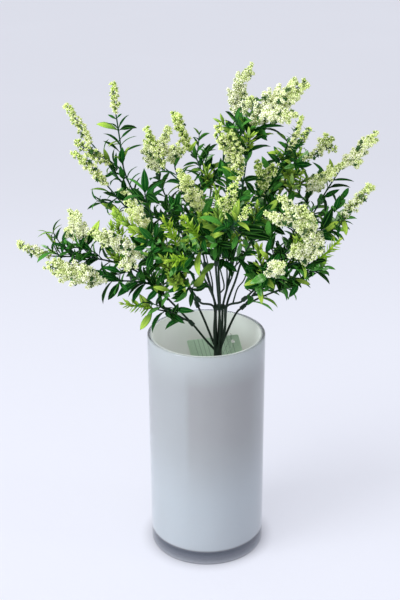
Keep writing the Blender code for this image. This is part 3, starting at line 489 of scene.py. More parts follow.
class Route:
    """A smooth run through given points, with a frame carried along it without twist."""

    STEPS = 12

    def __init__(self, points):
        knots = [Vector(p) * MM for p in points]
        knots = [knots[0] * 2 - knots[1]] + knots + [knots[-1] * 2 - knots[-2]]
        self.points = []
        for a, b, c, d in zip(knots, knots[1:], knots[2:], knots[3:]):
            for step in range(self.STEPS):
                t = step / self.STEPS
                self.points.append(0.5 * (2 * b + (c - a) * t + (2 * a - 5 * b + 4 * c - d) * t * t
                                          + (3 * b - a - 3 * c + d) * t * t * t))
        self.points.append(knots[-2])
        count = len(self.points)
        self.distances = [0.0]
        for a, b in zip(self.points, self.points[1:]):
            self.distances.append(self.distances[-1] + (b - a).length)
        self.length = self.distances[-1]
        self.tangents = [(self.points[min(i + 1, count - 1)] - self.points[max(i - 1, 0)]).normalized()
                         for i in range(count)]
        start = self.tangents[0]
        radial = start.cross(Vector((0, 0, 1)))
        if radial.length < 0.2:
            radial = Vector((1, 0, 0)) - start * start.x
        self.radials = []
        for tangent in self.tangents:
            radial = (radial - tangent * radial.dot(tangent)).normalized()
            self.radials.append(radial)

    def at(self, distance):
        """Point, tangent, radial and side direction at a distance along the run."""
        distance = min(max(distance, 0.0), self.length)
        i = 0
        while i < len(self.distances) - 2 and self.distances[i + 1] < distance:
            i += 1
        t = (distance - self.distances[i]) / (self.distances[i + 1] - self.distances[i])
        point = self.points[i].lerp(self.points[i + 1], t)
        tangent = self.tangents[i].lerp(self.tangents[i + 1], t).normalized()
        radial = self.radials[i].lerp(self.radials[i + 1], t)
        radial = (radial - tangent * radial.dot(tangent)).normalized()
        return point, tangent, radial, tangent.cross(radial)


class Runs:
    """Runs and loose points with named numbers at each, gathered for a geometry tree to work on."""

    def __init__(self):
        self.points = []
        self.edges = []
        self.numbers = {}

    def point(self, place, **numbers):
        index = len(self.points)
        self.points.append(tuple(place))
        for name, value in numbers.items():
            self.numbers.setdefault(name, {})[index] = value
        return index

    def run(self, stations, late=None):
        """A run through stations of (point, girth). Late is how far up its head it lies, or "rising"."""
        later = {} if late is None else {"late": late}
        indices = []
        for k, (place, girth) in enumerate(stations):
            if late == "rising":
                later = {"late": k / (len(stations) - 1)}
            indices.append(self.point(place, girth=girth, **later))
        self.edges += list(zip(indices, indices[1:]))

    def mesh(self, name):
        mesh = bpy.data.meshes.new(name)
        mesh.from_pydata(self.points, self.edges, [])
        for key, values in self.numbers.items():
            vector = isinstance(next(iter(values.values())), Vector)
            layer = mesh.attributes.new(key, "FLOAT_VECTOR" if vector else "FLOAT", "POINT")
            for index, value in values.items():
                if vector:
                    layer.data[index].vector = value
                else:
                    layer.data[index].value = value
        return mesh


def swung(first, second, angle):
    """The direction at an angle from a first one, towards a second that is square to it."""
    return first * math.cos(angle) + second * math.sin(angle)


def nearest(places, wanted):
    """The nearest of several places to a wanted one."""
    return min(places, key=lambda place: (place - wanted).length)


def in_mm(places):
    """Places in millimetres, as a route's points are given."""
    return [tuple(place / MM) for place in places]


def grown(name, runs, nodes, **inputs):
    """The plain mesh object that a geometry tree makes of the runs."""
    obj = link(bpy.data.objects.new(name, runs.mesh(name)))
    growth = obj.modifiers.new("growth", "NODES")
    growth.node_group = nodes
    for item in nodes.interface.items_tree:
        if item.in_out == "INPUT" and item.name in inputs:
            growth[item.identifier] = inputs[item.name]
    bpy.context.view_layer.update()
    graph = bpy.context.evaluated_depsgraph_get()
    mesh = bpy.data.meshes.new_from_object(obj.evaluated_get(graph))
    obj.modifiers.clear()
    obj.data = mesh
    return obj


def geometry_tree(name, inputs):
    """A geometry tree with named inputs, its input sockets by name, and a function that closes it."""
    nodes = bpy.data.node_groups.new(name, "GeometryNodeTree")
    nodes.interface.new_socket(name="Geometry", in_out="INPUT", socket_type="NodeSocketGeometry")
    nodes.interface.new_socket(name="Geometry", in_out="OUTPUT", socket_type="NodeSocketGeometry")
    for label, (kind, value) in inputs.items():
        item = nodes.interface.new_socket(name=label, in_out="INPUT", socket_type="NodeSocket" + kind)
        if value is not None:
            item.default_value = value
    tree = Tree(nodes)
    entry = tree.add("NodeGroupInput")

    def close(geometry):
        plain = tree.add("GeometryNodeRealizeInstances", {}, {"Geometry": geometry})["Geometry"]
        smooth = tree.add("GeometryNodeSetShadeSmooth", {}, {"Geometry": plain})["Geometry"]
        tree.add("NodeGroupOutput", {}, {"Geometry": smooth})
        return nodes

    return tree, entry, close


def painted(tree, geometry, skin):
    return tree.add("GeometryNodeSetMaterial", {}, {"Geometry": geometry, "Material": skin})["Geometry"]


def thick(tree, curve, sides, radius, scale=1.0):
    """A curve thickened to a radius, with closed ends."""
    ring = tree.add("GeometryNodeCurvePrimitiveCircle", {}, {"Resolution": sides, "Radius": radius})["Curve"]
    return tree.add("GeometryNodeCurveToMesh", {}, {
        "Curve": curve, "Profile Curve": ring, "Scale": scale, "Fill Caps": True})["Mesh"]


def round_bar(tree, curve, sides):
    """A curve thickened to its own girth."""
    return thick(tree, curve, sides, 1.0, tree.named("girth"))


tree, entry, close = geometry_tree("moulded_bars", {"Sides": ("Int", 10), "Skin": ("Material", None)})
bars = tree.add("GeometryNodeMeshToCurve", {}, {"Mesh": entry["Geometry"]})["Curve"]
moulded_bars = close(painted(tree, round_bar(tree, bars, entry["Sides"]), entry["Skin"]))

stem_plastic, tree, feed, place = new_material("stem_plastic", {"Specular IOR Level": 0.25})
height = tree.split(place)["Z"]
grain = tree.noise(place, 420, 3, 0.6)
tone = height.step(0.20, 0.36) * 0.7 + grain * 0.3
feed(Base_Color=tree.ramp(tone, (0.0, (0.007, 0.016, 0.009)), (0.45, (0.010, 0.028, 0.015)),
                          (1.0, (0.018, 0.055, 0.028))),
     Roughness=0.30 + 0.25 * grain,
     Normal=tree.bump(grain, 0.0003, 0.35))


def stations_along(route, start, foot, tip, pitch=2.5 * MM):
    """Even stations of (point, girth) along a route, tapering from its foot to its tip."""
    count = max(2, round((route.length - start) / pitch))
    distances = [start + (route.length - start) * k / count for k in range(count + 1)]
    return [(route.at(s)[0], foot + (tip - foot) * s / route.length) for s in distances]


def knuckle(spray):
    """Where a spray's sleeve ends on its stem, and the direction in which the spray leaves it."""
    stem = [Vector(p) * MM for p in FRAME_STEMS[spray]]
    first_route = SPRAYS[spray][0].route
    direction = (Vector(first_route[1]) * MM - stem[-2]).normalized()
    return stem[-1], direction


# Sprays
# Moulded twigs in a lighter green, each pushed on to a bare stem by its sleeve. Pairs of glossy lance-shaped
# leaves grow crosswise up each twig. Short leafy side shoots and fine twigs fill the bush.

# A leaf's length and width, its angle from the twig at root and tip, and where the solid's blade is bent
Leaf = namedtuple("Leaf", "length width start_angle end_angle bends", defaults=((),))
BROAD = Leaf(23 * MM, 7.6 * MM, math.radians(34), math.radians(74), (0.30, 0.64))
SMALL = Leaf(16 * MM, 4.6 * MM, math.radians(36), math.radians(78), (0.30, 0.64))
NARROW = Leaf(18 * MM, 3.2 * MM, math.radians(30), math.radians(80), (0.30, 0.66))
BRACT = Leaf(9 * MM, 2.0 * MM, math.radians(46), math.radians(30))
LEAF_ROOT = 0.2 * MM
LEAF_END_MARGIN = 5
LEAF_WANDER = 14
LEAF_SIZES = (0.86, 1.1)
# A leaf of the solids has the first of these turns and spreads, in degrees, and sizes that left it clear of
# its neighbours; a tip that is this near to a corner of the solid shows which
LEAF_TURNS = ((0, 0), (22, 0), (-22, 0), (0, -14), (0, 14), (44, -8), (-44, -8), (66, 0), (-66, 0))
LEAF_TRIES = [(turn, spread, size) for size in (1.0, 0.82, 0.66) for turn, spread in LEAF_TURNS]
LEAF_FOUND = 0.08 * MM
TWIG_FOOT = 1.1 * MM
SIDE_TWIG_FOOT = 0.9 * MM
TWIG_TIP = 0.7 * MM
TWIG_OFF_STEM = 0.7 * MM
HEAD_START = (0.5 * MM, 3.0 * MM)

# A shoot's route, its leaves (kind, first pair, pitch of the pairs, turn) and what its tip carries
Shoot = namedtuple("Shoot", "route leaf first pitch turn head", defaults=(None,))
# A plume's or sprig's name, its points after the shoot's tip, its width, and side lobes as (route, width)
Plume = namedtuple("Plume", "name points width lobes", defaults=((),))
Sprig = namedtuple("Sprig", "name points")

SPRAYS = {
    "low_left": [
        Shoot([(-16, -5, 255), (-34, -10, 278), (-52, -16, 300), (-75, -22, 321), (-109, -26, 332),
               (-148, -28, 335)],
              BROAD, 40, 23, 20, Plume("plume_far_left", [(-163, -29, 340), (-178, -30, 348)], 10)),
        Shoot([(-52, -16, 300), (-71, -34, 311), (-96, -48, 317)],
              BROAD, 20, 20, 70, Plume("plume_low_left", [(-124, -54, 327), (-148, -56, 336)], 23,
                                       [([(-106, -52, 320), (-118, -60, 333)], 12)])),
        Shoot([(-16, -5, 255), (-36, -14, 269), (-53, -24, 278)],
              BROAD, 15, 17, 10, Sprig("sprig_low_left", [(-80, -36, 288)])),
        Shoot([(-109, -26, 332), (-113, -22, 341), (-115, -20, 346)],
              NARROW, 7, 20, 0, Plume("plume_left_upper", [(-122, -17, 361), (-130, -14, 375)], 13,
                                      [([(-118, -19, 352), (-134, -22, 359)], 9)])),
    ],
    "left": [
        Shoot([(-10, 20, 265), (-23, 30, 289), (-42, 38, 322), (-66, 44, 363), (-81, 47, 396), (-85, 49, 429),
               (-88, 50, 454)],
              NARROW, 26, 17, 0, Plume("plume_tall_left", [(-90, 52, 483)], 7.5)),
        Shoot([(-55, 41, 342), (-78, 34, 362), (-97, 27, 388)],
              SMALL, 14, 17, 40, Plume("plume_left_bract_low", [(-113, 21, 409), (-127, 18, 424)], 10)),
        Shoot([(-81, 47, 396), (-105, 58, 412), (-114, 62, 421)],
              NARROW, 11, 15, 60, Plume("plume_left_bract_top", [(-127, 66, 441), (-138, 68, 458)], 10)),
        Shoot([(-70, 44, 370), (-87, 42, 391), (-96, 42, 404)],
              NARROW, 12, 14, 90, Plume("plume_left_bract_high", [(-110, 40, 416), (-126, 38, 430)], 10)),
    ],
    "mid_left": [
        Shoot([(-9, -20, 287), (-24, -34, 318), (-41, -44, 349), (-50, -48, 377), (-56, -50, 404)],
              BROAD, 18, 20, 30),
        Shoot([(-41, -44, 349), (-48, -52, 360), (-51, -56, 366)],
              SMALL, 8, 20, 0, Plume("plume_mid_left", [(-61, -62, 385), (-71, -64, 400)], 16)),
        Shoot([(-30, -39, 330), (-48, -54, 342), (-59, -62, 347)],
              BROAD, 14, 18, 60, Plume("plume_left_front", [(-84, -70, 364), (-104, -74, 376)], 15,
                                       [([(-68, -66, 351), (-74, -72, 340)], 15)])),
        Shoot([(-24, -34, 318), (-25, -50, 340), (-27, -58, 356)],
              BROAD, 14, 15, 0, Sprig("sprig_mid_left", [(-38, -66, 384)])),
    ],
    "centre_left": [
        Shoot([(-1, 12, 311), (-6, 20, 338), (-12, 28, 365), (-25, 32, 389), (-39, 34, 403)],
              BROAD, 20, 21, 15, Plume("plume_upper_left_a", [(-47, 36, 421), (-53, 37, 432), (-57, 38, 441)],
                                       11)),
        Shoot([(-25, 32, 389), (-30, 42, 400), (-31, 47, 404)],
              NARROW, 8, 20, 0, Plume("plume_upper_left_b", [(-37, 49, 412), (-42, 51, 421), (-40, 53, 430),
                                                                  (-37, 55, 438)], 11,
                                       [([(-35, 48, 409), (-29, 48, 414), (-24, 48, 418)], 12),
                                        ([(-35, 48, 409), (-33, 46, 414), (-31, 44, 422)], 11)])),
        Shoot([(-8, 23, 348), (-3, 42, 384), (-7, 54, 403), (-15, 60, 414)],
              NARROW, 16, 15, 45, Plume("plume_upper_middle", [(-24, 63, 435), (-31, 64, 451)], 11,
                                        [([(-27, 62, 438), (-26, 60, 450)], 8)])),
        Shoot([(-5, 19, 334), (-2, -6, 361), (-5, -15, 376)],
              BROAD, 15, 18, 0, Plume("plume_middle", [(-15, -21, 399), (-24, -24, 418)], 14)),
    ],
    "crown": [
        Shoot([(26, 6, 315), (33, 4, 347), (34, 0, 382), (37, -4, 408), (40, -6, 433), (43, -6, 455)],
              BROAD, 22, 21, 0, Plume("plume_crown_large", [(62, -8, 479), (91, -12, 497)], 25,
                                      [([(52, -12, 468), (68, -20, 470), (83, -24, 471)], 13)])),
        Shoot([(38, -5, 423), (32, 16, 441), (30, 24, 457)],
              SMALL, 12, 14, 30, Plume("plume_crown_top", [(30, 27, 482), (36, 28, 494), (44, 28, 506)], 14,
                                       [([(29, 26, 466), (38, 32, 482)], 10),
                                        ([(31, 24, 462), (38, 18, 468), (43, 14, 478)], 13)])),
        Shoot([(33, 4, 347), (44, -4, 354), (57, -8, 368), (62, -10, 376)],
              BROAD, 12, 13, 30),
        Shoot([(36, -3, 398), (34, -22, 410), (33, -27, 414)],
              SMALL, 14, 20, 0, Plume("plume_crown_left", [(30, -30, 434), (23, -32, 455)], 12,
                                       [([(27, -30, 431), (16, -34, 448), (12, -38, 463)], 11)])),
    ],
    "front": [
        Shoot([(10, -22, 326), (13, -44, 357), (19, -64, 385)],
              BROAD, 14, 18, 20, Plume("plume_front", [(22, -68, 398), (25, -72, 418)], 12,
                                       [([(20, -67, 392), (14, -74, 404)], 7)])),
        Shoot([(15, -51, 367), (26, -72, 382), (31, -80, 390)],
              SMALL, 12, 14, 60, Plume("plume_front_small", [(38, -87, 401)], 7)),
        Shoot([(12, -33, 340), (-5, -60, 352), (-17, -74, 350)],
              BROAD, 15, 17, 0, Sprig("sprig_front_left", [(-34, -88, 352)])),
        Shoot([(12, -40, 351), (2, -56, 362), (-6, -64, 368)],
              BROAD, 12, 14, 45, Sprig("sprig_front_top", [(-20, -73, 388)])),
    ],
    "right_front": [
        Shoot([(39, -15, 285), (56, -30, 309), (76, -50, 332), (90, -60, 340)],
              BROAD, 16, 20, 0, Plume("plume_right_large", [(97, -68, 362), (90, -76, 384), (88, -80, 399)],
                                      21, [([(94, -66, 352), (104, -68, 364)], 13),
                                           ([(90, -66, 347), (81, -70, 356)], 14),
                                           ([(90, -72, 374), (81, -78, 392), (73, -80, 400)], 13),
                                           ([(84, -78, 391), (72, -80, 405), (66, -80, 409)], 6.5),
                                           ([(82, -76, 384), (63, -80, 390), (54, -80, 395)], 6)])),
        Shoot([(51, -25, 302), (54, -54, 322), (58, -74, 334)],
              BROAD, 16, 18, 40, Plume("plume_right_low", [(63, -90, 345), (68, -100, 354)], 13)),
        Shoot([(74, -48, 330), (92, -46, 328), (104, -40, 332)],
              SMALL, 12, 14, 10, Sprig("sprig_right", [(126, -36, 352)])),
    ],
    "right": [
        Shoot([(39, 15, 264), (56, 20, 271), (75, 22, 278), (94, 26, 281)],
              BROAD, 18, 19, 25),
        Shoot([(39, 15, 264), (59, 30, 284), (86, 40, 315), (109, 46, 352), (121, 46, 375), (135, 44, 400)],
              BROAD, 22, 21, 60, Plume("plume_far_right", [(153, 44, 418), (168, 44, 436)], 13,
                                       [([(144, 44, 410), (152, 36, 408)], 9)])),
        Shoot([(94, 42, 325), (119, 30, 337), (133, 22, 354)],
              BROAD, 14, 16, 20, Plume("plume_right_end", [(148, 17, 374), (161, 14, 390)], 12)),
        Shoot([(102, 45, 341), (104, 60, 358), (106, 67, 368)],
              SMALL, 12, 16, 0, Plume("plume_right_pale", [(118, 34, 394), (134, 24, 410)], 14,
                                       [([(108, 56, 376), (110, 40, 388), (117, 32, 399)], 11)])),
    ],
    "right_up": [
        Shoot([(38, 40, 306), (51, 54, 330), (64, 64, 356), (77, 70, 385), (85, 72, 410)],
              BROAD, 16, 19, 50, Plume("plume_twin_upper", [(92, 73, 428), (97, 74, 444)], 5.0)),
        Shoot([(77, 70, 385), (89, 58, 399), (97, 50, 407)],
              NARROW, 13, 12, 0, Plume("plume_right_white", [(106, 45, 412), (115, 42, 422), (124, 40, 431)],
                                       8.5, [([(112, 44, 419), (115, 42, 427), (118, 40, 434)], 9),
                                             ([(113, 43, 420), (122, 41, 422), (127, 40, 421)], 9)])),
        Shoot([(79, 71, 391), (90, 84, 402), (94, 88, 408)],
              NARROW, 10, 11, 30, Plume("plume_twin_lower", [(106, 94, 427)], 7.0)),
        Shoot([(51, 54, 330), (66, 44, 342), (78, 38, 356), (82, 34, 366)],
              BROAD, 12, 14, 60),
        Shoot([(64, 64, 356), (61, 44, 372), (59, 38, 380)],
              SMALL, 12, 14, 20, Plume("plume_centre_right", [(54, 4, 405), (49, -12, 421)], 12,
                                        [([(56, 12, 398), (61, 2, 408), (66, -6, 416)], 11)])),
    ],
    "back_left": [
        Shoot([(-18, 52, 308), (-30, 68, 338), (-44, 80, 366), (-50, 86, 384)],
              BROAD, 14, 19, 0, Plume("plume_back_left", [(-58, 94, 402), (-62, 98, 414)], 15)),
        Shoot([(-25, 61, 325), (-50, 68, 342), (-66, 76, 354)],
              BROAD, 15, 17, 70, Plume("plume_back_far_left", [(-79, 86, 358), (-90, 92, 363)], 13)),
    ],
    "back": [
        Shoot([(14, 58, 306), (19, 78, 336), (22, 94, 362), (24, 104, 384)],
              BROAD, 14, 19, 30, Plume("plume_back", [(28, 110, 402), (30, 114, 418)], 16)),
        Shoot([(17, 71, 325), (36, 88, 340), (54, 100, 352)],
              BROAD, 15, 17, 10, Plume("plume_back_right", [(70, 108, 366), (82, 112, 376)], 14)),
        Shoot([(17, 71, 325), (0, 92, 336), (-12, 104, 346)],
              BROAD, 14, 16, 50, Plume("plume_back_low", [(-22, 114, 358), (-28, 120, 370)], 13)),
    ],
}


def spray_routes(spray):
    """The routes of a spray's shoots: a side shoot's foot is moved onto the nearest earlier shoot."""
    routes = []
    for shoot in SPRAYS[spray]:
        foot = Vector(shoot.route[0]) * MM
        if routes:
            foot = nearest([point for route in routes for point in route.points], foot)
        routes.append(Route(in_mm([foot]) + shoot.route[1:]))
    return routes


def numbered_shoots(spray):
    """Each of a spray's shoots with its number and its route."""
    return [(number, *pair) for number, pair in enumerate(zip(SPRAYS[spray], spray_routes(spray)))]


def pair_distances(shoot, route):
    """Distances along a shoot at which its pairs of leaves grow."""
    count = int((route.length - (shoot.first + LEAF_END_MARGIN) * MM) / (shoot.pitch * MM)) + 1
    return [(shoot.first + shoot.pitch * k) * MM for k in range(max(0, count))]


def head_route(shoot, route):
    """The route of what a shoot carries, from a hair beyond the shoot's tip."""
    end, tangent = route.at(route.length)[:2]
    return Route(in_mm(end + tangent * ahead for ahead in HEAD_START) + shoot.head.points)


# The stalk's share of a leaf, and the highest value of the formula that gives its outline
STALK_SHARE = 0.08
BLADE_PEAK = 0.3114
BLADE_COLUMNS = (-1, -0.5, 0, 0.5, 1)
STALK_HALF = 0.4 * MM
# Rise of a blade's margins and of its quarter lines, and drop of its keel, as shares of the half width
BLADE_CUP = 0.30
BLADE_SWELL = 0.10
KEEL_SHARE = 0.10
# What the keel drops besides
KEEL_DEPTH = 0.12 * MM


def leaf_shape(name, leaf, bend, wave, stations):
    """A closed thin blade, creased along its midrib, that arches out from a stem along Z towards +Y."""
    bm = bmesh.new()
    along = bm.verts.layers.float.new("along")
    across = bm.verts.layers.float.new("across")
    upper = bm.verts.layers.float.new("upper")
    centre = Vector()
    tops, keels = [], []
    for k in range(stations + 1):
        share = k / stations
        if k:
            middle = leaf.start_angle + (leaf.end_angle - leaf.start_angle) * (share - 0.5 / stations)
            centre = centre + Vector((0, math.sin(middle), math.cos(middle))) * leaf.length / stations
        angle = leaf.start_angle + (leaf.end_angle - leaf.start_angle) * share
        normal = Vector((0, -math.cos(angle), math.sin(angle)))
        here = centre + Vector((bend * leaf.length * share * share, 0, 0))
        body = max(0.0, (share - STALK_SHARE) / (1 - STALK_SHARE))
        half = 0.5 * leaf.width * body ** 0.75 * (1 - body) ** 0.95 / BLADE_PEAK
        half = max(half, STALK_HALF * (1 - share))
        top = []
        for column in BLADE_COLUMNS if k < stations else (0,):
            ripple = wave * math.sin(math.tau * 1.5 * share + column) * abs(column)
            swell = BLADE_SWELL * (1 - abs(2 * abs(column) - 1))
            lift = half * (BLADE_CUP * abs(column) + swell + ripple)
            vert = bm.verts.new(here + Vector((column * half, 0, 0)) + normal * lift)
            vert[along], vert[across], vert[upper] = share, column, 1 - 0.5 * (abs(column) == 1)
            top.append(vert)
        tops.append(top)
        if k < stations:
            keel = bm.verts.new(here - normal * (KEEL_DEPTH + KEEL_SHARE * half))
            keel[along] = share
            keels.append(keel)
    for k in range(stations - 1):
        low, high = tops[k], tops[k + 1]
        for c in range(4):
            bm.faces.new((low[c], low[c + 1], high[c + 1], high[c]))
        bm.faces.new((low[0], high[0], keels[k + 1], keels[k]))
        bm.faces.new((low[4], keels[k], keels[k + 1], high[4]))
    last, tip = tops[-2], tops[-1][0]
    for c in range(4):
        bm.faces.new((last[c], last[c + 1], tip))
    bm.faces.new((last[0], tip, keels[-1]))
    bm.faces.new((last[4], keels[-1], tip))
    bm.faces.new((*tops[0], keels[0]))
    bmesh.ops.recalc_face_normals(bm, faces=bm.faces)
    mesh = bpy.data.meshes.new(name)
    bm.to_mesh(mesh)
    bm.free()
    return bpy.data.objects.new(name, mesh)


FINE_TWIG_GIRTHS = (0.65 * MM, 0.45 * MM)
# The leaf shapes by name, in the alphabetical order in which the collection numbers them: the kind, the
# finished blade's length, width and arch, its sideways bend, its wave and its number of stations
LEAF_SHAPES = {
    "bract_a": (BRACT, 10, 3.5, 50, 28, 0.05, 0.02, 4),
    "bract_b": (BRACT, 11, 3.1, 60, 44, -0.08, 0.03, 4),
    "broad_a": (BROAD, 25, 8.2, 36, 84, 0.05, 0.10, 6),
    "broad_b": (BROAD, 26, 7.2, 40, 100, -0.09, 0.06, 6),
    "broad_c": (BROAD, 22, 7.8, 34, 70, 0.13, 0.14, 6),
    "narrow_a": (NARROW, 25, 4.2, 38, 104, 0.10, 0.05, 6),
    "narrow_b": (NARROW, 23, 4.0, 34, 88, -0.14, 0.08, 6),
    "small_a": (SMALL, 18, 5.2, 38, 86, 0.06, 0.08, 6),
    "small_b": (SMALL, 17, 4.6, 36, 70, -0.10, 0.05, 6),
}
SHAPE_NUMBERS = {kind: [i for i, (leaf, *_) in enumerate(LEAF_SHAPES.values()) if leaf is kind]
                 for kind in (BRACT, BROAD, NARROW, SMALL)}
leaf_shapes = bpy.data.collections.new("leaf_shapes")
for shape_name, (kind, length, width, start, end, bend, wave, stations) in LEAF_SHAPES.items():
    blade = Leaf(length * MM, width * MM, math.radians(start), math.radians(end))
    leaf_shapes.objects.link(leaf_shape(shape_name, blade, bend, wave, stations))

tree, entry, close = geometry_tree("leafy_twigs", {
    "Sides": ("Int", 8), "Leaf Shapes": ("Collection", None), "Leaf Skin": ("Material", None),
    "Twig Skin": ("Material", None)})
twigs = tree.add("GeometryNodeMeshToCurve", {}, {"Mesh": entry["Geometry"]})["Curve"]
size = tree.named("size")
roots = tree.add("GeometryNodeMeshToPoints", {}, {
    "Mesh": entry["Geometry"], "Selection": size.apply("GREATER_THAN")})["Points"]
blades = tree.add("GeometryNodeCollectionInfo", {}, {
    "Collection": entry["Leaf Shapes"], "Separate Children": True, "Reset Children": True})["Instances"]
leaves = tree.add("GeometryNodeInstanceOnPoints", {}, {
    "Points": roots, "Instance": blades, "Pick Instance": True, "Instance Index": tree.named("shape"),
    "Rotation": tree.add("FunctionNodeEulerToRotation", {}, {
        "Euler": tree.named("facing", "FLOAT_VECTOR")})["Rotation"],
    "Scale": tree.vector(size, size, size)})["Instances"]
leafy_twigs = close(tree.add("GeometryNodeJoinGeometry", {}, {"Geometry": [
    painted(tree, leaves, entry["Leaf Skin"]),
    painted(tree, round_bar(tree, twigs, entry["Sides"]), entry["Twig Skin"])]})["Geometry"])


def leaf_skin(name, dark, middle, light, pale, fresh, gloss, glow):
    """Glossy moulded plastic: paler midrib and margins, partly a painted highlight, raised side veins, bright
    tips on new leaves, and a painted glow.
    """
    skin, tree, feed, place = new_material(name, {"Specular IOR Level": 0.025, "Emission Strength": glow})
    along = tree.attribute("along")
    across = tree.attribute("across").apply("ABSOLUTE")
    upper = tree.attribute("upper")
    tint = tree.attribute("tint")
    new = tree.attribute("fresh")
    blotch = tree.noise(place, 260, 3, 0.6)
    # The palest stop is a painted sheen on a few leaves
    body = tree.ramp(tint * 0.80 + blotch * 0.20, (0.22, dark), (0.60, middle), (0.84, light), (0.91, pale))
    bright = new * (0.5 + 0.7 * along.step(0.2, 0.9))
    body = tree.mix(bright.apply("MINIMUM", 1.0), body, fresh)
    veins = (along * 62 - across * 9).apply("SINE")
    # The paler midrib and margins are the plastic's own colour with a painted highlight along them
    rib = across.step(0.16, 0.02)
    margin = across.step(0.80, 1.0) * 0.35
    body = tree.mix(rib * 0.45 * upper, body, light)
    body = tree.mix(margin, body, light)
    body = tree.mix((1 - upper) * 0.4, body, light)
    # The emission is a painted glow, as if light came through the plastic
    feed(Base_Color=body, Emission_Color=body,
         Roughness=gloss + 0.18 * blotch + 0.15 * (1 - upper),
         Normal=tree.bump(veins * 0.35 * across.step(0.05, 0.3) + blotch * 0.5 - rib, 0.00022, 0.6))
    return skin


leaf_plastic = leaf_skin(
    "leaf_plastic", dark=(0.001, 0.016, 0.002), middle=(0.006, 0.085, 0.012), light=(0.12, 0.40, 0.06),
    pale=(0.52, 0.73, 0.42), fresh=(0.56, 0.80, 0.11), gloss=0.17, glow=0.02)
twig_plastic, tree, feed, place = new_material("twig_plastic", {"Specular IOR Level": 0.25})
height = tree.split(place)["Z"]
grain = tree.noise(place, 380, 3, 0.6)
feed(Base_Color=tree.ramp(height.step(0.25, 0.44) * 0.75 + 0.25 * grain, (0.0, (0.008, 0.025, 0.012)),
                          (0.5, (0.010, 0.045, 0.020)), (1.0, (0.024, 0.095, 0.045))),
     Roughness=0.32 + 0.2 * grain,
     Normal=tree.bump(grain, 0.00025, 0.35))


def basis(tangent, out, spread=0.0):
    """Euler angles that turn a leaf shape's Z to the stem and its Y outwards, opened by a spread."""
    z = swung(tangent, out, spread)
    y = swung(out, -tangent, spread)
    return Vector(Matrix((y.cross(z), y, z)).transposed().to_euler())


def solid_tip(leaf, root, tangent, out, size, spread):
    """Where the solid's coarser blade ends, from its angles and bends."""
    tip = root.copy()
    last = 0.0
    for share in (*leaf.bends, 1.0):
        angle = leaf.start_angle + (leaf.end_angle - leaf.start_angle) * 0.5 * (share + last) + spread
        tip += swung(tangent, out, angle) * leaf.length * size * (share - last)
        last = share
    return tip


def solid_points(node):
    """A search tree of a solid's corners."""
    corners = frame["nodes"][node].data.vertices
    found = KDTree(len(corners))
    for index, corner in enumerate(corners):
        found.insert(corner.co, index)
    found.balance()
    return found


def add_leaf(runs, draw, kind, root, tangent, out, size, spread, fresh):
    """One leaf's root, with its shape, its facing and its tones."""
    runs.point(root, size=size, shape=float(draw.choice(SHAPE_NUMBERS[kind])),
               facing=basis(tangent, out, spread), tint=draw.random(), fresh=fresh)
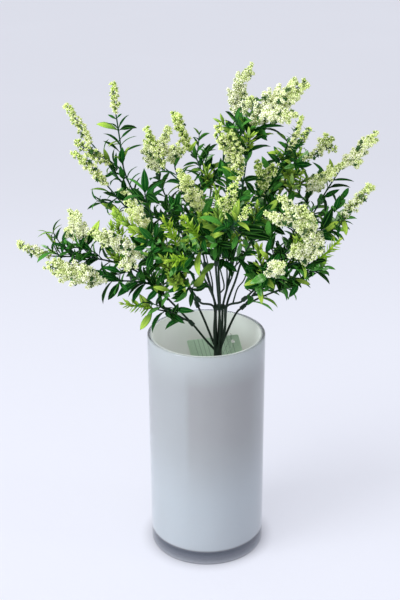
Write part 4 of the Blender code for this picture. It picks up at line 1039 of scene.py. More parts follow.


# Fine side twigs listed where the bush opens up: the route, the leaves' kind, their pitch and freshness
FineTwig = namedtuple("FineTwig", "route leaf pitch fresh", defaults=(0.0,))
FINE_TWIGS = {
    "low_left": [
        ([(-50, -15, 299), (-66, -20, 317), (-80, -26, 337)], SMALL, 16),
        ([(-47, -14, 297), (-51, -20, 314), (-54, -28, 325)], SMALL, 14),
        ([(-46, -14, 296), (-38, -22, 318), (-34, -30, 341)], SMALL, 18),
        ([(-75, -22, 321), (-81, -20, 345), (-86, -16, 374)], BRACT, 2.8, 1.1),
        ([(-80, -22, 324), (-88, -24, 340), (-90, -24, 362)], BRACT, 2.8, 1.0),
        ([(-140, -28, 334), (-146, -27, 346), (-148, -26, 356)], NARROW, 8, 0.4),
        ([(-100, -26, 330), (-108, -30, 340), (-124, -34, 346)], BROAD, 9),
        ([(-36, -14, 269), (-48, -30, 284), (-62, -38, 291)], SMALL, 11),
    ],
    "left": [
        ([(-89, 30, 375), (-97, 22, 372), (-106, 16, 376)], NARROW, 7),
    ],
    "centre_left": [
        ([(-9, 25, 354), (-34, 16, 362), (-31, 13, 370)], NARROW, 16),
        ([(-3, 42, 380), (2, 36, 388), (1, 32, 402)], BRACT, 3.2, 0.8),
        ([(-3, 42, 384), (8, 38, 392), (15, 36, 404)], BROAD, 8),
    ],
    "mid_left": [
        ([(-21, -31, 312), (-27, -50, 316), (-32, -62, 328), (-38, -68, 345)], BRACT, 2.9, 1.0),
        ([(-20, -30, 306), (-16, -38, 304), (-10, -42, 310)], BROAD, 10),
        ([(-41, -44, 349), (-56, -46, 352), (-72, -50, 356)], SMALL, 12),
        ([(-51, -56, 360), (-68, -72, 380), (-80, -72, 391)], BRACT, 2.8, 1.1),
    ],
    "front": [
        ([(10, -22, 326), (16, -36, 334), (15, -46, 350)], BROAD, 11),
        ([(10, -22, 326), (24, -34, 332), (34, -46, 342)], BROAD, 11),
        ([(14, -50, 364), (12, -30, 376), (11, -10, 392)], BRACT, 3.2, 0.7),
    ],
    "crown": [
        ([(42, -6, 448), (52, -6, 452), (60, -8, 458)], BROAD, 8),
        ([(42, -6, 448), (41, -10, 462), (45, -6, 478)], SMALL, 11, 0.3),
        ([(34, -2, 395), (28, 6, 400), (22, 8, 410)], SMALL, 9),
        ([(40, -6, 433), (30, -10, 440), (24, -12, 452)], SMALL, 9),
    ],
    "right_front": [
        ([(51, -25, 302), (48, -38, 312), (50, -52, 330)], BROAD, 12),
        ([(92, -46, 328), (88, -42, 352), (92, -40, 372)], BRACT, 3.4, 0.8),
        ([(60, -34, 312), (76, -24, 306), (92, -26, 308)], BROAD, 9),
        ([(70, -45, 326), (64, -42, 341), (60, -44, 358)], BROAD, 8),
    ],
    "right": [
        ([(109, 42, 345), (122, 34, 356), (133, 26, 372)], BROAD, 10),
        ([(119, 30, 337), (132, 22, 346), (138, 18, 358)], SMALL, 7, 0.5),
    ],
    "right_up": [
        ([(80, 66, 394), (84, 48, 392), (92, 38, 396)], BRACT, 3.2, 0.8),
        ([(79, 66, 386), (90, 52, 380), (101, 44, 388)], BRACT, 3.2, 0.6),
        ([(77, 66, 380), (84, 50, 374), (86, 40, 384)], SMALL, 8, 0.5),
        ([(85, 72, 408), (88, 73, 420), (93, 74, 436)], NARROW, 4.2),
        ([(93, 86, 407), (98, 89, 414), (104, 92, 424)], NARROW, 4.2),
    ],
}
# Leaves set one by one: the kind, the root, the tip, how far the upper face is turned from the sky to the
# front, and the freshness
Single = namedtuple("Single", "kind root tip roll fresh", defaults=(0.0,))
SINGLES = {
    "left": [
        (BROAD, (-83, 46, 405), (-82, 41, 424), 95), (BROAD, (-82, 46, 389), (-85, 41, 405), 80),
        (BROAD, (-81, 46, 377), (-82, 40, 392), 95), (NARROW, (-86, 48, 417), (-102, 52, 427), 30),
        (NARROW, (-79, 48, 417), (-62, 44, 425), 30), (NARROW, (-84, 50, 424), (-97, 52, 420), 20, 0.5),
        (NARROW, (-84, 50, 430), (-71, 48, 441), 40), (NARROW, (-89, 46, 398), (-89, 50, 416), 60),
        (BROAD, (-96, 46, 404), (-101, 44, 422), 80, 0.3), (SMALL, (-90, 45, 392), (-96, 48, 408), 60),
        (BROAD, (-87, 36, 359), (-105, 30, 369), 50, 0.35), (NARROW, (-91, 34, 368), (-110, 36, 369), 20),
        (NARROW, (-95, 32, 379), (-115, 30, 383), 20, 0.3), (BROAD, (-79, 42, 368), (-91, 36, 380), 80),
        (SMALL, (-92, 42, 396), (-102, 38, 393), 50), (SMALL, (-74, 40, 372), (-66, 34, 384), 70),
        (BROAD, (-87, 48, 439), (-108, 48, 445), 35, 0.7), (BROAD, (-85, 48, 439), (-67, 44, 442), 35),
        (SMALL, (-88, 48, 450), (-96, 46, 455), 50), (SMALL, (-87, 48, 451), (-82, 50, 455), 50),
        (NARROW, (-86, 47, 428), (-97, 42, 424), 30, 0.5),
    ],
    "mid_left": [
        (BROAD, (-55, -48, 395), (-68, -40, 407), 60), (BROAD, (-56, -50, 405), (-56, -54, 430), 95),
        (BROAD, (-55, -50, 404), (-42, -60, 397), 60), (NARROW, (-54, -48, 394), (-37, -52, 410), 50),
        (NARROW, (-56, -50, 405), (-73, -46, 418), 20), (NARROW, (-56, -50, 405), (-34, -54, 420), 20),
        (BROAD, (-51, -44, 368), (-65, -50, 358), 70), (BROAD, (-48, -40, 349), (-40, -46, 367), 90),
        (BROAD, (-55, -46, 356), (-62, -54, 349), 80), (BROAD, (-60, -48, 352), (-72, -50, 364), 70),
        (BROAD, (-13, -44, 305), (-15, -52, 291), 80), (BROAD, (-20, -36, 295), (-34, -42, 296), 50),
        (BROAD, (-18, -48, 311), (-37, -52, 306), 50), (BROAD, (-29, -40, 308), (-33, -48, 332), 90),
        (SMALL, (-34, -40, 303), (-51, -44, 309), 60, 0.9), (BROAD, (-46, -30, 302), (-58, -34, 290), 60),
        (BROAD, (-49, -72, 367), (-61, -78, 382), 60), (BROAD, (-53, -72, 364), (-66, -76, 370), 50),
        (BROAD, (-51, -72, 371), (-49, -76, 388), 80), (SMALL, (-56, -74, 375), (-69, -80, 383), 60, 0.7),
        (BROAD, (-54, -70, 360), (-67, -74, 358), 60), (BROAD, (-11, -42, 309), (2, -52, 317), 80),
        (BROAD, (-12, -42, 309), (0, -54, 329), 80, 0.4), (BROAD, (-18, -36, 302), (-32, -46, 301), 70),
    ],
    "low_left": [
        (SMALL, (-114, -21, 346), (-101, -26, 371), 70, 0.9),
        (SMALL, (-114, -21, 344), (-106, -28, 364), 60), (BROAD, (-97, -24, 341), (-85, -30, 341), 60),
        (BROAD, (-95, -25, 345), (-110, -28, 355), 50, 0.3),
        (BROAD, (-55, -26, 281), (-65, -34, 298), 80, 0.8),
        (BROAD, (-53, -28, 276), (-65, -36, 260), 60, 0.7), (SMALL, (-35, -20, 271), (-21, -30, 264), 60),
        (SMALL, (-37, -22, 272), (-30, -34, 268), 60), (BROAD, (-30, -26, 278), (-11, -36, 280), 60),
        (BROAD, (-83, -42, 313), (-94, -50, 298), 70), (SMALL, (-83, -42, 313), (-74, -50, 306), 60),
        (BROAD, (-82, -40, 322), (-99, -46, 330), 50), (BROAD, (-86, -42, 316), (-101, -48, 322), 60),
        (BROAD, (-44, -20, 318), (-54, -28, 326), 80), (BROAD, (-33, -18, 271), (-27, -34, 288), 80),
    ],
    "centre_left": [
        (SMALL, (-17, 60, 413), (-9, 56, 426), 80, 1.0), (SMALL, (-7, 54, 404), (5, 60, 422), 70),
        (SMALL, (-7, 55, 403), (-23, 52, 400), 20), (BROAD, (-3, 52, 396), (-15, 50, 397), 40, 0.3),
        (BROAD, (-2, 50, 394), (7, 48, 413), 90), (NARROW, (-4, 54, 394), (-11, 52, 384), 40),
        (BROAD, (14, 36, 392), (15, 36, 414), 90), (SMALL, (8, 38, 390), (20, 34, 384), 50),
        (BROAD, (-31, 13, 368), (-26, 12, 387), 95), (SMALL, (-31, 13, 370), (-36, 12, 384), 80),
        (BROAD, (-7, 26, 366), (-19, 16, 388), 80),
    ],
    "crown": [
        (BROAD, (34, 2, 385), (20, 0, 398), 70), (BROAD, (26, 6, 396), (15, 10, 418), 90),
        (BROAD, (38, -6, 402), (47, -14, 391), 70), (BROAD, (36, -16, 386), (46, -24, 396), 70),
        (BROAD, (40, -6, 428), (31, -16, 446), 90), (BROAD, (44, -6, 453), (58, -14, 444), 60),
        (NARROW, (46, -6, 453), (74, -8, 456), 30), (NARROW, (42, -6, 438), (64, -10, 450), 40),
        (NARROW, (38, -6, 436), (12, -10, 456), 30, 0.3), (BROAD, (42, -6, 446), (36, -8, 466), 90),
        (BROAD, (34, 0, 382), (45, -6, 396), 80),
    ],
    "front": [
        (SMALL, (26, -68, 384), (30, -74, 407), 80, 0.6), (BROAD, (30, -66, 374), (55, -72, 375), 55),
        (BROAD, (32, -60, 368), (61, -60, 363), 45), (BROAD, (29, -62, 368), (24, -70, 356), 70),
        (BROAD, (22, -64, 377), (6, -74, 373), 15), (BROAD, (22, -30, 330), (26, -38, 349), 90),
        (BROAD, (10, -30, 330), (2, -40, 348), 90), (BROAD, (8, -26, 326), (-6, -42, 320), 70, 0.3),
    ],
    "right_front": [
        (BROAD, (58, -60, 342), (49, -66, 355), 60, 0.9), (BROAD, (56, -56, 348), (60, -60, 366), 90),
        (BROAD, (40, -20, 296), (46, -32, 321), 90), (BROAD, (50, -48, 320), (48, -54, 338), 90),
        (BROAD, (48, -36, 304), (54, -46, 320), 80), (BROAD, (70, -26, 306), (88, -32, 304), 50),
        (BROAD, (82, -24, 312), (91, -30, 304), 60, 0.5), (BROAD, (92, -26, 309), (107, -32, 318), 50),
        (SMALL, (92, -46, 332), (100, -50, 342), 60, 0.9), (BROAD, (74, -56, 326), (73, -66, 343), 90),
    ],
    "right": [
        (BROAD, (119, 44, 370), (134, 38, 380), 60), (NARROW, (120, 46, 390), (106, 46, 406), 40),
        (BROAD, (116, 30, 340), (126, 24, 366), 90), (BROAD, (128, 26, 360), (133, 26, 378), 80),
        (SMALL, (136, 22, 356), (140, 18, 338), 80, 1.0), (BROAD, (119, 29, 338), (133, 22, 352), 60, 0.8),
        (BROAD, (94, 26, 284), (84, 16, 272), 60), (SMALL, (126, 44, 394), (123, 42, 411), 70, 0.5),
        (NARROW, (125, 46, 386), (149, 44, 386), 20),
    ],
    "right_up": [
        (BROAD, (76, 66, 408), (62, 62, 411), 50, 0.9), (BROAD, (79, 68, 402), (70, 60, 416), 80, 0.6),
        (BROAD, (64, 56, 396), (56, 48, 412), 90), (NARROW, (60, 44, 374), (78, 40, 404), 60),
        (BROAD, (60, 42, 376), (48, 34, 388), 70), (BROAD, (66, 60, 372), (82, 52, 378), 50),
    ],
}


def set_leaf(runs, draw, kind, root, tip, roll, fresh):
    """A leaf from its root to its tip; its roll turns its upper face from the sky towards the front."""
    number = draw.choice(SHAPE_NUMBERS[kind])
    own = leaf_shapes.objects[number].data.vertices[-1].co
    middle = 0.5 * sum(math.radians(angle) for angle in LEAF_SHAPES[leaf_shapes.objects[number].name][3:5])
    frames = []
    for way, face in ((own, Vector((0, -math.cos(middle), math.sin(middle)))),
                      (tip - root, Vector((0, -math.sin(roll), math.cos(roll))))):
        way = way.normalized()
        face = (face - way * face.dot(way)).normalized()
        frames.append(Matrix((way, face, way.cross(face))))
    turn = frames[1].transposed() @ frames[0]
    runs.point(root, size=(tip - root).length / own.length, shape=float(number),
               facing=Vector(turn.to_euler()), tint=0.85 * draw.random(), fresh=fresh)


def add_hand_set(runs, spray):
    """The fine twigs and the single leaves that were listed one by one, each from the nearest twig."""
    draw = random.Random(spray + "_hand_set")
    places = [point for route in spray_routes(spray) for point in route.points]
    for fine in (FineTwig(*row) for row in FINE_TWIGS.get(spray, [])):
        foot = nearest(places, Vector(fine.route[0]) * MM)
        twig = Route(in_mm([foot]) + fine.route[1:])
        runs.run(stations_along(twig, 0, *FINE_TWIG_GIRTHS))
        places += twig.points
        whorled = fine.leaf is BRACT
        in_row = 3 if whorled else 2
        distance = (0.3 if whorled else 0.6) * fine.pitch * MM
        row = draw.uniform(0, math.pi)
        while distance < twig.length + 0.4 * fine.pitch * MM:
            point, tangent, radial, side = twig.at(distance)
            late = min(1.0, distance / twig.length)
            for k in range(in_row):
                out = swung(radial, side, row + math.tau * k / in_row + draw.uniform(-0.3, 0.3))
                size = draw.uniform(0.85, 1.15) * (1 - 0.3 * late) * (1.2 if whorled else 1.0)
                size *= 0.55 if fine.leaf is NARROW and fine.pitch < 5 else 1.0
                spread = math.radians(draw.uniform(-10, 12) - 16 * late)
                add_leaf(runs, draw, fine.leaf, point, tangent, out, size, spread,
                         fine.fresh * draw.uniform(0.7, 1.2))
            row += math.pi / in_row
            distance += fine.pitch * MM
    for leaf in (Single(*row) for row in SINGLES.get(spray, [])):
        root, tip = Vector(leaf.root) * MM, Vector(leaf.tip) * MM
        foot = nearest(places, root)
        if (foot - root).length > MM:
            bow = foot.lerp(root, 0.5) + Vector((0, 0, 0.15 * (foot - root).length))
            runs.run(stations_along(Route(in_mm((foot, bow, root))), 0, *FINE_TWIG_GIRTHS))
        set_leaf(runs, draw, leaf.kind, root, tip, math.radians(leaf.roll), leaf.fresh)


def swollen_stations(route, start, foot, tip, pairs):
    """A twig's stations, a little thicker where each pair of leaves grows."""
    stations = []
    for place, girth in stations_along(route, start, foot, tip, 1.6 * MM):
        near = min(((place - pair).length for pair in pairs), default=1.0)
        stations.append((place, girth * (1 + 0.45 * math.exp(-(near / (1.5 * MM)) ** 2))))
    return stations


def add_solid_leaves(runs, spray):
    """The leaves that the spray's solid has, found again by the rule that placed them."""
    corners = solid_points("spray_" + spray)
    for number, shoot, route in numbered_shoots(spray):
        draw = random.Random(f"{spray}_{number}")
        looks = random.Random(f"{spray}_{number}_looks")
        for pair, distance in enumerate(pair_distances(shoot, route)):
            point, tangent, radial, side = route.at(distance)
            for opposite in (0, 1):
                wander = draw.uniform(-LEAF_WANDER, LEAF_WANDER)
                angle = math.radians(shoot.turn + 90 * pair + 180 * opposite + wander)
                size = draw.uniform(*LEAF_SIZES)
                for turn, spread, shrink in LEAF_TRIES:
                    out = swung(radial, side, angle + math.radians(turn))
                    root = point + out * LEAF_ROOT
                    tip = solid_tip(shoot.leaf, root, tangent, out, size * shrink, math.radians(spread))
                    if corners.find(tip)[2] < LEAF_FOUND:
                        late = distance / route.length
                        fresh = looks.random() if looks.random() < 0.14 + 0.22 * late ** 3 else 0.0
                        add_leaf(runs, looks, shoot.leaf, root, tangent, out, size * shrink,
                                 math.radians(spread), fresh)
                        break


# The full middle of the bush, as ellipsoids: centre and reach
FILL_ZONES = [
    ((24, 0, 322), (112, 96, 52)), ((72, 20, 388), (60, 80, 44)), ((8, 8, 408), (40, 70, 40)),
    ((38, 4, 432), (24, 34, 34)), ((-80, 0, 372), (26, 70, 26)), ((-118, -24, 350), (34, 34, 22)),
    ((-36, -14, 288), (34, 50, 34)), ((140, 38, 388), (30, 44, 36)),
]
# Where the stems show bare, in the same form
BARE_ZONES = [
    ((-40, 10, 396), (17, 90, 24)), ((42, 0, 408), (14, 40, 18)), ((126, 50, 380), (22, 34, 24)),
    ((-76, -20, 306), (18, 30, 12)), ((-40, -20, 322), (13, 30, 16)), ((58, 10, 398), (14, 40, 16)),
    ((66, 4, 284), (34, 44, 14)), ((4, -20, 300), (44, 60, 16)), ((112, 30, 392), (16, 44, 16)),
    ((-42, -16, 272), (32, 26, 15)), ((70, -24, 304), (30, 26, 12)), ((34, -10, 322), (17, 50, 11)),
    ((0, -56, 340), (22, 26, 14)),
]
# Shoots that keep only their own leaves, by what their tips carry
OPEN_SHOOTS = ("plume_tall_left", "plume_left_bract_top", "plume_left_bract_high", "plume_left_bract_low")
# How near its foot and its tip a shoot may have an extra pair
BETWEEN_ENDS = (5 * MM, 2 * MM)
BETWEEN_SIZES = (0.78, 1.05)
FILL_PITCH = 8.5 * MM
FILL_LENGTHS = (14 * MM, 32 * MM)
FILL_SPREAD = math.radians(46)
FILL_LEAF_PITCH = 6.5 * MM
FILL_CLEAR = 2.0 * MM
FILL_TWIG_GIRTHS = (0.75 * MM, 0.5 * MM)
# How many side shoots are new, how many of the other leaves are broad, and the sizes of both sorts
FILL_FRESH_SHARE = 0.20
FILL_BROAD_SHARE = 0.45
FILL_SIZES = (0.66, 0.98)
FILL_FRESH_SIZES = (0.8, 1.15)

plume_surfaces = []
for node_name, node in frame["nodes"].items():
    if node_name.startswith(("plume", "vase", "tag", "sprig")):
        node.data.calc_loop_triangles()
        plume_surfaces.append(BVHTree.FromPolygons([v.co for v in node.data.vertices],
                                                   [tuple(t.vertices) for t in node.data.loop_triangles]))


def clear_of_plumes(*places):
    """Whether places are off every plume, sprig, the vase and the tag."""
    return all(surface.find_nearest(place, FILL_CLEAR)[0] is None
               for surface in plume_surfaces for place in places)


def within(zones, place):
    """Whether a place is inside one of the ellipsoids."""
    return any(sum(((place[i] / MM - centre[i]) / reach[i]) ** 2 for i in range(3)) < 1
               for centre, reach in zones)


def is_open(shoot):
    return isinstance(shoot.head, Plume) and shoot.head.name in OPEN_SHOOTS


def add_between(runs, spray):
    """More pairs of leaves, each between two pairs that the solid has."""
    for number, shoot, route in numbered_shoots(spray):
        if is_open(shoot):
            continue
        draw = random.Random(f"{spray}_{number}_between")
        distance = (shoot.first - 0.5 * shoot.pitch) * MM
        turn = shoot.turn + 45
        while distance < route.length - BETWEEN_ENDS[1]:
            if distance > BETWEEN_ENDS[0]:
                point, tangent, radial, side = route.at(distance)
                for opposite in (0, 1):
                    angle = turn + 180 * opposite + draw.uniform(-20, 20)
                    out = swung(radial, side, math.radians(angle))
                    size = draw.uniform(*BETWEEN_SIZES) * (1.2 if shoot.leaf is NARROW else 1.0)
                    spread = math.radians(draw.uniform(-8, 16))
                    fresh = draw.uniform(0.3, 1.0) if draw.random() < 0.14 else 0.0
                    leaf_end = point + (tangent + out).normalized() * 0.85 * shoot.leaf.length * size
                    if within(BARE_ZONES, leaf_end):
                        continue
                    if clear_of_plumes(leaf_end, point.lerp(leaf_end, 0.6)):
                        kind = SMALL if shoot.leaf is NARROW else shoot.leaf
                        add_leaf(runs, draw, kind, point, tangent, out, size, spread, fresh)
            distance += shoot.pitch * MM
            turn += 90


def add_fill(runs, spray):
    """Short leafy side shoots along the spray's shoots, where they pass through the middle of the bush."""
    for number, shoot, route in numbered_shoots(spray):
        if is_open(shoot):
            continue
        draw = random.Random(f"{spray}_{number}_fill")
        distance = FILL_PITCH
        while distance < route.length - FILL_PITCH:
            point, tangent, radial, side = route.at(distance)
            distance += FILL_PITCH * draw.uniform(0.75, 1.25)
            turn = draw.uniform(0, math.tau)
            length = draw.uniform(*FILL_LENGTHS)
            fresh_shoot = draw.random() < FILL_FRESH_SHARE
            if not within(FILL_ZONES, point) or within(BARE_ZONES, point):
                continue
            start = swung(tangent, swung(radial, side, turn), FILL_SPREAD)
            end = (start + Vector((0, 0, 0.35))).normalized()
            middle = point + start * 0.5 * length
            tip = middle + end * 0.5 * length
            if within(BARE_ZONES, tip) or not clear_of_plumes(point, middle, tip):
                continue
            twig = Route(in_mm((point, middle, tip)))
            runs.run(swollen_stations(twig, 0, *FILL_TWIG_GIRTHS, []))
            place = 0.3 * FILL_LEAF_PITCH
            row = draw.uniform(0, math.pi)
            while place < twig.length + 0.5 * FILL_LEAF_PITCH:
                root, along, across, beside = twig.at(place)
                late = place / twig.length
                for opposite in (0, 1):
                    side_way = swung(across, beside, row + math.pi * opposite + draw.uniform(-0.3, 0.3))
                    kind = BROAD if draw.random() < FILL_BROAD_SHARE else SMALL
                    size = draw.uniform(*FILL_SIZES) * (1 - 0.25 * late)
                    spread = math.radians(draw.uniform(-10, 18) - 16 * late)
                    fresh = 0.4 * (draw.random() < 0.08)
                    if fresh_shoot:
                        kind, size, fresh = BRACT, draw.uniform(*FILL_FRESH_SIZES), draw.uniform(0.7, 1.0)
                    leaf_end = root + (along + side_way).normalized() * 0.8 * kind.length * size
                    if clear_of_plumes(leaf_end, root.lerp(leaf_end, 0.6)):
                        add_leaf(runs, draw, kind, root, along, side_way, size, spread, fresh)
                row += 0.5 * math.pi
                place += FILL_LEAF_PITCH * (0.42 if fresh_shoot else 1.0)


# The bare frame is made here, with every spray's direction known. The trunk narrows by a quarter over the
# last 4% of its length.
frame_runs = Runs()
trunk = Route(TRUNK_ROUTE)
frame_runs.run([(trunk.at(s * trunk.length)[0], TRUNK_RADIUS * (1 - 0.25 * max(0.0, s - 0.96) / 0.04))
                for s in [k / TRUNK_STEPS for k in range(TRUNK_STEPS + 1)]])
bare_places = []
for spray_name, stem_points in FRAME_STEMS.items():
    stem_end, stem_way = knuckle(spray_name)
    straight = in_mm(stem_end - stem_way * back for back in (2 * SLEEVE_DEPTH, SLEEVE_DEPTH, LAYER_GAP))
    bends = stem_points[:-1]
    if (Vector(bends[-1]) - Vector(straight[0])).length < STEM_EASE:
        bends = bends[:-1]
    stem_route = Route(bends + straight)
    frame_runs.run(stations_along(stem_route, 0, FRAME_STEM_RADIUS, FRAME_STEM_TIP, 4 * MM))
    bare_places += stem_route.points
for twig_points in FRAME_TWIGS:
    side_stem = Route(in_mm([nearest(bare_places, Vector(twig_points[0]) * MM)]) + twig_points[1:])
    frame_runs.run(stations_along(side_stem, 0, *FRAME_TWIG_GIRTHS, 4 * MM))
bare_frame = grown("bare_frame", frame_runs, moulded_bars, Sides=12, Skin=stem_plastic)
# The knot is a flattened ball, made ring by ring so that its faces come in the same order each run.
knot = bmesh.new()
knot.from_mesh(bare_frame.data)
rings = []
for k in range(KNOT_RINGS + 1):
    slant = math.pi * k / KNOT_RINGS
    turns = [math.tau * j / KNOT_SIDES for j in range(KNOT_SIDES if 0 < k < KNOT_RINGS else 1)]
    ball = [Vector((math.sin(slant) * math.cos(turn), math.sin(slant) * math.sin(turn), math.cos(slant)))
            for turn in turns]
    rings.append([knot.verts.new((Vector(KNOT_CENTRE) + point * Vector(KNOT_SIZE)) * MM) for point in ball])
for upper, lower in zip(rings, rings[1:]):
    for j in range(KNOT_SIDES):
        corners = [ring[(j + step) % len(ring)]
                   for ring, step in ((upper, 0), (lower, 0), (lower, 1), (upper, 1))]
        knot.faces.new(list(dict.fromkeys(corners))).smooth = True
knot.to_mesh(bare_frame.data)
knot.free()
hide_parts("bush_stems")
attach(bare_frame, "root")

# A sleeve's outline: distance from the stem's end and radius, in millimetres
SLEEVE_OUTLINE = [(-5.0, 2.0), (-4.6, 2.35), (-2.5, 2.25), (0.6, 2.2), (1.6, 1.7), (2.2, 1.2)]
for spray_name in SPRAYS:
    runs = Runs()
    sleeve_end, sleeve_way = knuckle(spray_name)
    runs.run([(sleeve_end + sleeve_way * ahead * MM, girth * MM) for ahead, girth in SLEEVE_OUTLINE])
    for _, shoot, route in numbered_shoots(spray_name):
        on_sleeve = (route.points[0] - sleeve_end).length < MM
        start, foot = (TWIG_OFF_STEM, TWIG_FOOT) if on_sleeve else (0.0, SIDE_TWIG_FOOT)
        pairs = [route.at(s)[0] for s in pair_distances(shoot, route)]
        runs.run(swollen_stations(route, start, foot, TWIG_TIP, pairs))
    add_solid_leaves(runs, spray_name)
    add_between(runs, spray_name)
    add_fill(runs, spray_name)
    add_hand_set(runs, spray_name)
    spray_piece = grown("leafy_spray_" + spray_name, runs, leafy_twigs, Sides=8,
                        **{"Leaf Shapes": leaf_shapes, "Leaf Skin": leaf_plastic, "Twig Skin": twig_plastic})
    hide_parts("spray_" + spray_name)
    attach(spray_piece, "root")


# Plumes
# Each head of flowers is a spindle of short stalks set round a thin axis, every stalk strung with tufts of
# small drop-shaped beads. A full plume also has short side branches. The beads have a green painted shade
# deep in a tuft and are cream outside with a painted glow; a few tufts are dark, and the head is yellow-green
# towards its tip.

# Slim plumes that are cream all along
CREAM_PLUMES = ("plume_far_left", "plume_far_right", "plume_right_end", "plume_right_pale",
                "plume_upper_left_b", "plume_right_white")
# Full plumes that are yellow-green
GREEN_PLUMES = ("plume_middle", "plume_mid_left")
# A plume's outline: its share of the width at its foot, how fast it fills out, and how it narrows
PLUME_FOOT = 0.40
PLUME_FILL = 3.2
PLUME_NARROWING = 0.40
PLUME_NARROWING_POWER = 2.0
SLIM_WIDTH = 12.5
# What the beads add to the solid's width, on a full plume and on a slim one
PLUME_EXTRA_WIDTH = (3.0 * MM, 3.4 * MM)
# In the same order, how far apart the stalks grow and how large their tufts and beads are
STALK_PITCH = (1.45 * MM, 1.1 * MM)
TUFT_RADIUS = (1.7 * MM, 1.3 * MM)
BEAD_RADIUS = (1.08 * MM, 0.90 * MM)
BEAD_LENGTH = (1.35, 2.1)
LUMP_PITCH = 7 * MM
LUMP_DEPTH = 0.16
CORE_SHARE = 0.70
LOBE_PITCH = 2.4 * MM
LOBE_SPREAD = math.radians(50)
# The share of a plume at which its side lobes start, and the share over which they follow each other
LOBES_FROM = 0.04
LOBES_OVER = 0.78
LOBE_WIDTHS = (5.6 * MM, 7.8 * MM)
GOLDEN_ANGLE = 2.39996
STALK_CURL = 0.25
SHORTEST_STALK = 0.5 * MM
CLUSTER_SPACING = 1.9

tree, entry, close = geometry_tree("bead_panicle", {
    "Branch Pitch": ("Float", 0.6 * MM), "Spread": ("Float", math.radians(58)),
    "Cluster Radius": ("Float", 1.9 * MM), "Bead Radius": ("Float", 1.1 * MM), "Bead Length": ("Float", 1.3),
    "Stalk Radius": ("Float", 0.3 * MM), "Bead Skin": ("Material", None), "Stalk Skin": ("Material", None),
    "Seed": ("Int", 1)})
seed = entry["Seed"]


def chance(low, high, step):
    """A random number for each element, from the tree's own seed."""
    return tree.add("FunctionNodeRandomValue", {"data_type": "FLOAT"}, {
        "Min": low, "Max": high, "Seed": seed + step})["Value"]


def store(geometry, name, value, kind="FLOAT"):
    return tree.add("GeometryNodeStoreNamedAttribute", {"data_type": kind, "domain": "POINT"}, {
        "Geometry": geometry, "Name": name, "Value": value})["Geometry"]


def scaled(vector, factor):
    return tree.add("ShaderNodeVectorMath", {"operation": "SCALE"}, {0: vector, 3: factor})["Vector"]


def turned_by(rotation, axis, angle):
    turn = tree.add("FunctionNodeAxisAngleToRotation", {}, {"Axis": axis, "Angle": angle})[0]
    return tree.add("FunctionNodeRotateRotation", {"rotation_space": "LOCAL"}, {
        "Rotation": rotation, "Rotate By": turn})[0]


# One cluster: a tuft of drop-shaped beads that open outwards from a common middle
middle = tree.add("GeometryNodeMeshIcoSphere", {}, {
    "Radius": entry["Cluster Radius"], "Subdivisions": 1})["Mesh"]
middle = store(middle, "grade", chance(0, 1, 11))
bead = tree.add("GeometryNodeMeshUVSphere", {}, {
    "Segments": 5, "Rings": 2, "Radius": entry["Bead Radius"]})["Mesh"]
bead_size = chance(0.70, 1.20, 6)
bead_length = entry["Bead Length"]
facing_out = tree.add("GeometryNodeInputNormal")["Normal"]
outwards = tree.add("FunctionNodeAlignRotationToVector", {"axis": "Z"}, {"Vector": facing_out})["Rotation"]
rise = tree.split(facing_out)["Z"] + chance(-0.3, 0.3, 9)
cluster = tree.add("GeometryNodeInstanceOnPoints", {}, {
    "Points": middle, "Selection": rise.apply("GREATER_THAN", -0.35), "Instance": bead,
    "Rotation": outwards, "Scale": tree.vector(bead_size, bead_size, bead_size * bead_length)})["Instances"]
cluster = tree.add("GeometryNodeRealizeInstances", {}, {"Geometry": cluster})["Geometry"]
off_middle = tree.add("ShaderNodeVectorMath", {"operation": "LENGTH"}, {
    0: tree.add("GeometryNodeInputPosition")["Position"]})["Value"]
cluster = store(cluster, "bud", off_middle / (entry["Cluster Radius"] + entry["Bead Radius"] * bead_length))

# The stalks: set round the axis by the golden angle, as long as the spindle is wide, curling to its tip
axis = tree.add("GeometryNodeMeshToCurve", {}, {"Mesh": entry["Geometry"]})["Curve"]
forks = tree.add("GeometryNodeCurveToPoints", {"mode": "LENGTH"}, {
    "Curve": axis, "Length": entry["Branch Pitch"]})
tilt = entry["Spread"] + chance(-0.22, 0.22, 1)
room = tree.named("girth") - entry["Cluster Radius"] - entry["Bead Radius"] * 0.7
room = room.apply("MAXIMUM", SHORTEST_STALK)
foot_points = store(forks["Points"], "heading", forks["Tangent"], "FLOAT_VECTOR")
foot_points = store(foot_points, "reach", room / tilt.apply("SINE") * chance(0.70, 1.06, 2))
spin = tree.add("GeometryNodeInputIndex")[0] * GOLDEN_ANGLE + chance(-0.35, 0.35, 3)
rotation = turned_by(turned_by(forks["Rotation"], (0, 0, 1), spin), (1, 0, 0), tilt)
line = tree.add("GeometryNodeCurvePrimitiveLine", {}, {"Start": (0, 0, 0), "End": (0, 0, 1)})["Curve"]
line = tree.add("GeometryNodeResampleCurve", {}, {"Curve": line, "Count": 4})["Curve"]
reach = tree.named("reach")
stalks = tree.add("GeometryNodeInstanceOnPoints", {}, {
    "Points": foot_points, "Instance": line, "Rotation": rotation,
    "Scale": tree.vector(1.0, 1.0, reach)})["Instances"]
stalks = tree.add("GeometryNodeRealizeInstances", {}, {"Geometry": stalks})["Geometry"]
stalks = store(stalks, "outer", tree.add("GeometryNodeSplineParameter")["Factor"])
outer = tree.named("outer")
curl = scaled(tree.named("heading", "FLOAT_VECTOR"), outer * outer * reach * STALK_CURL)
stalks = tree.add("GeometryNodeSetPosition", {}, {"Geometry": stalks, "Offset": curl})["Geometry"]

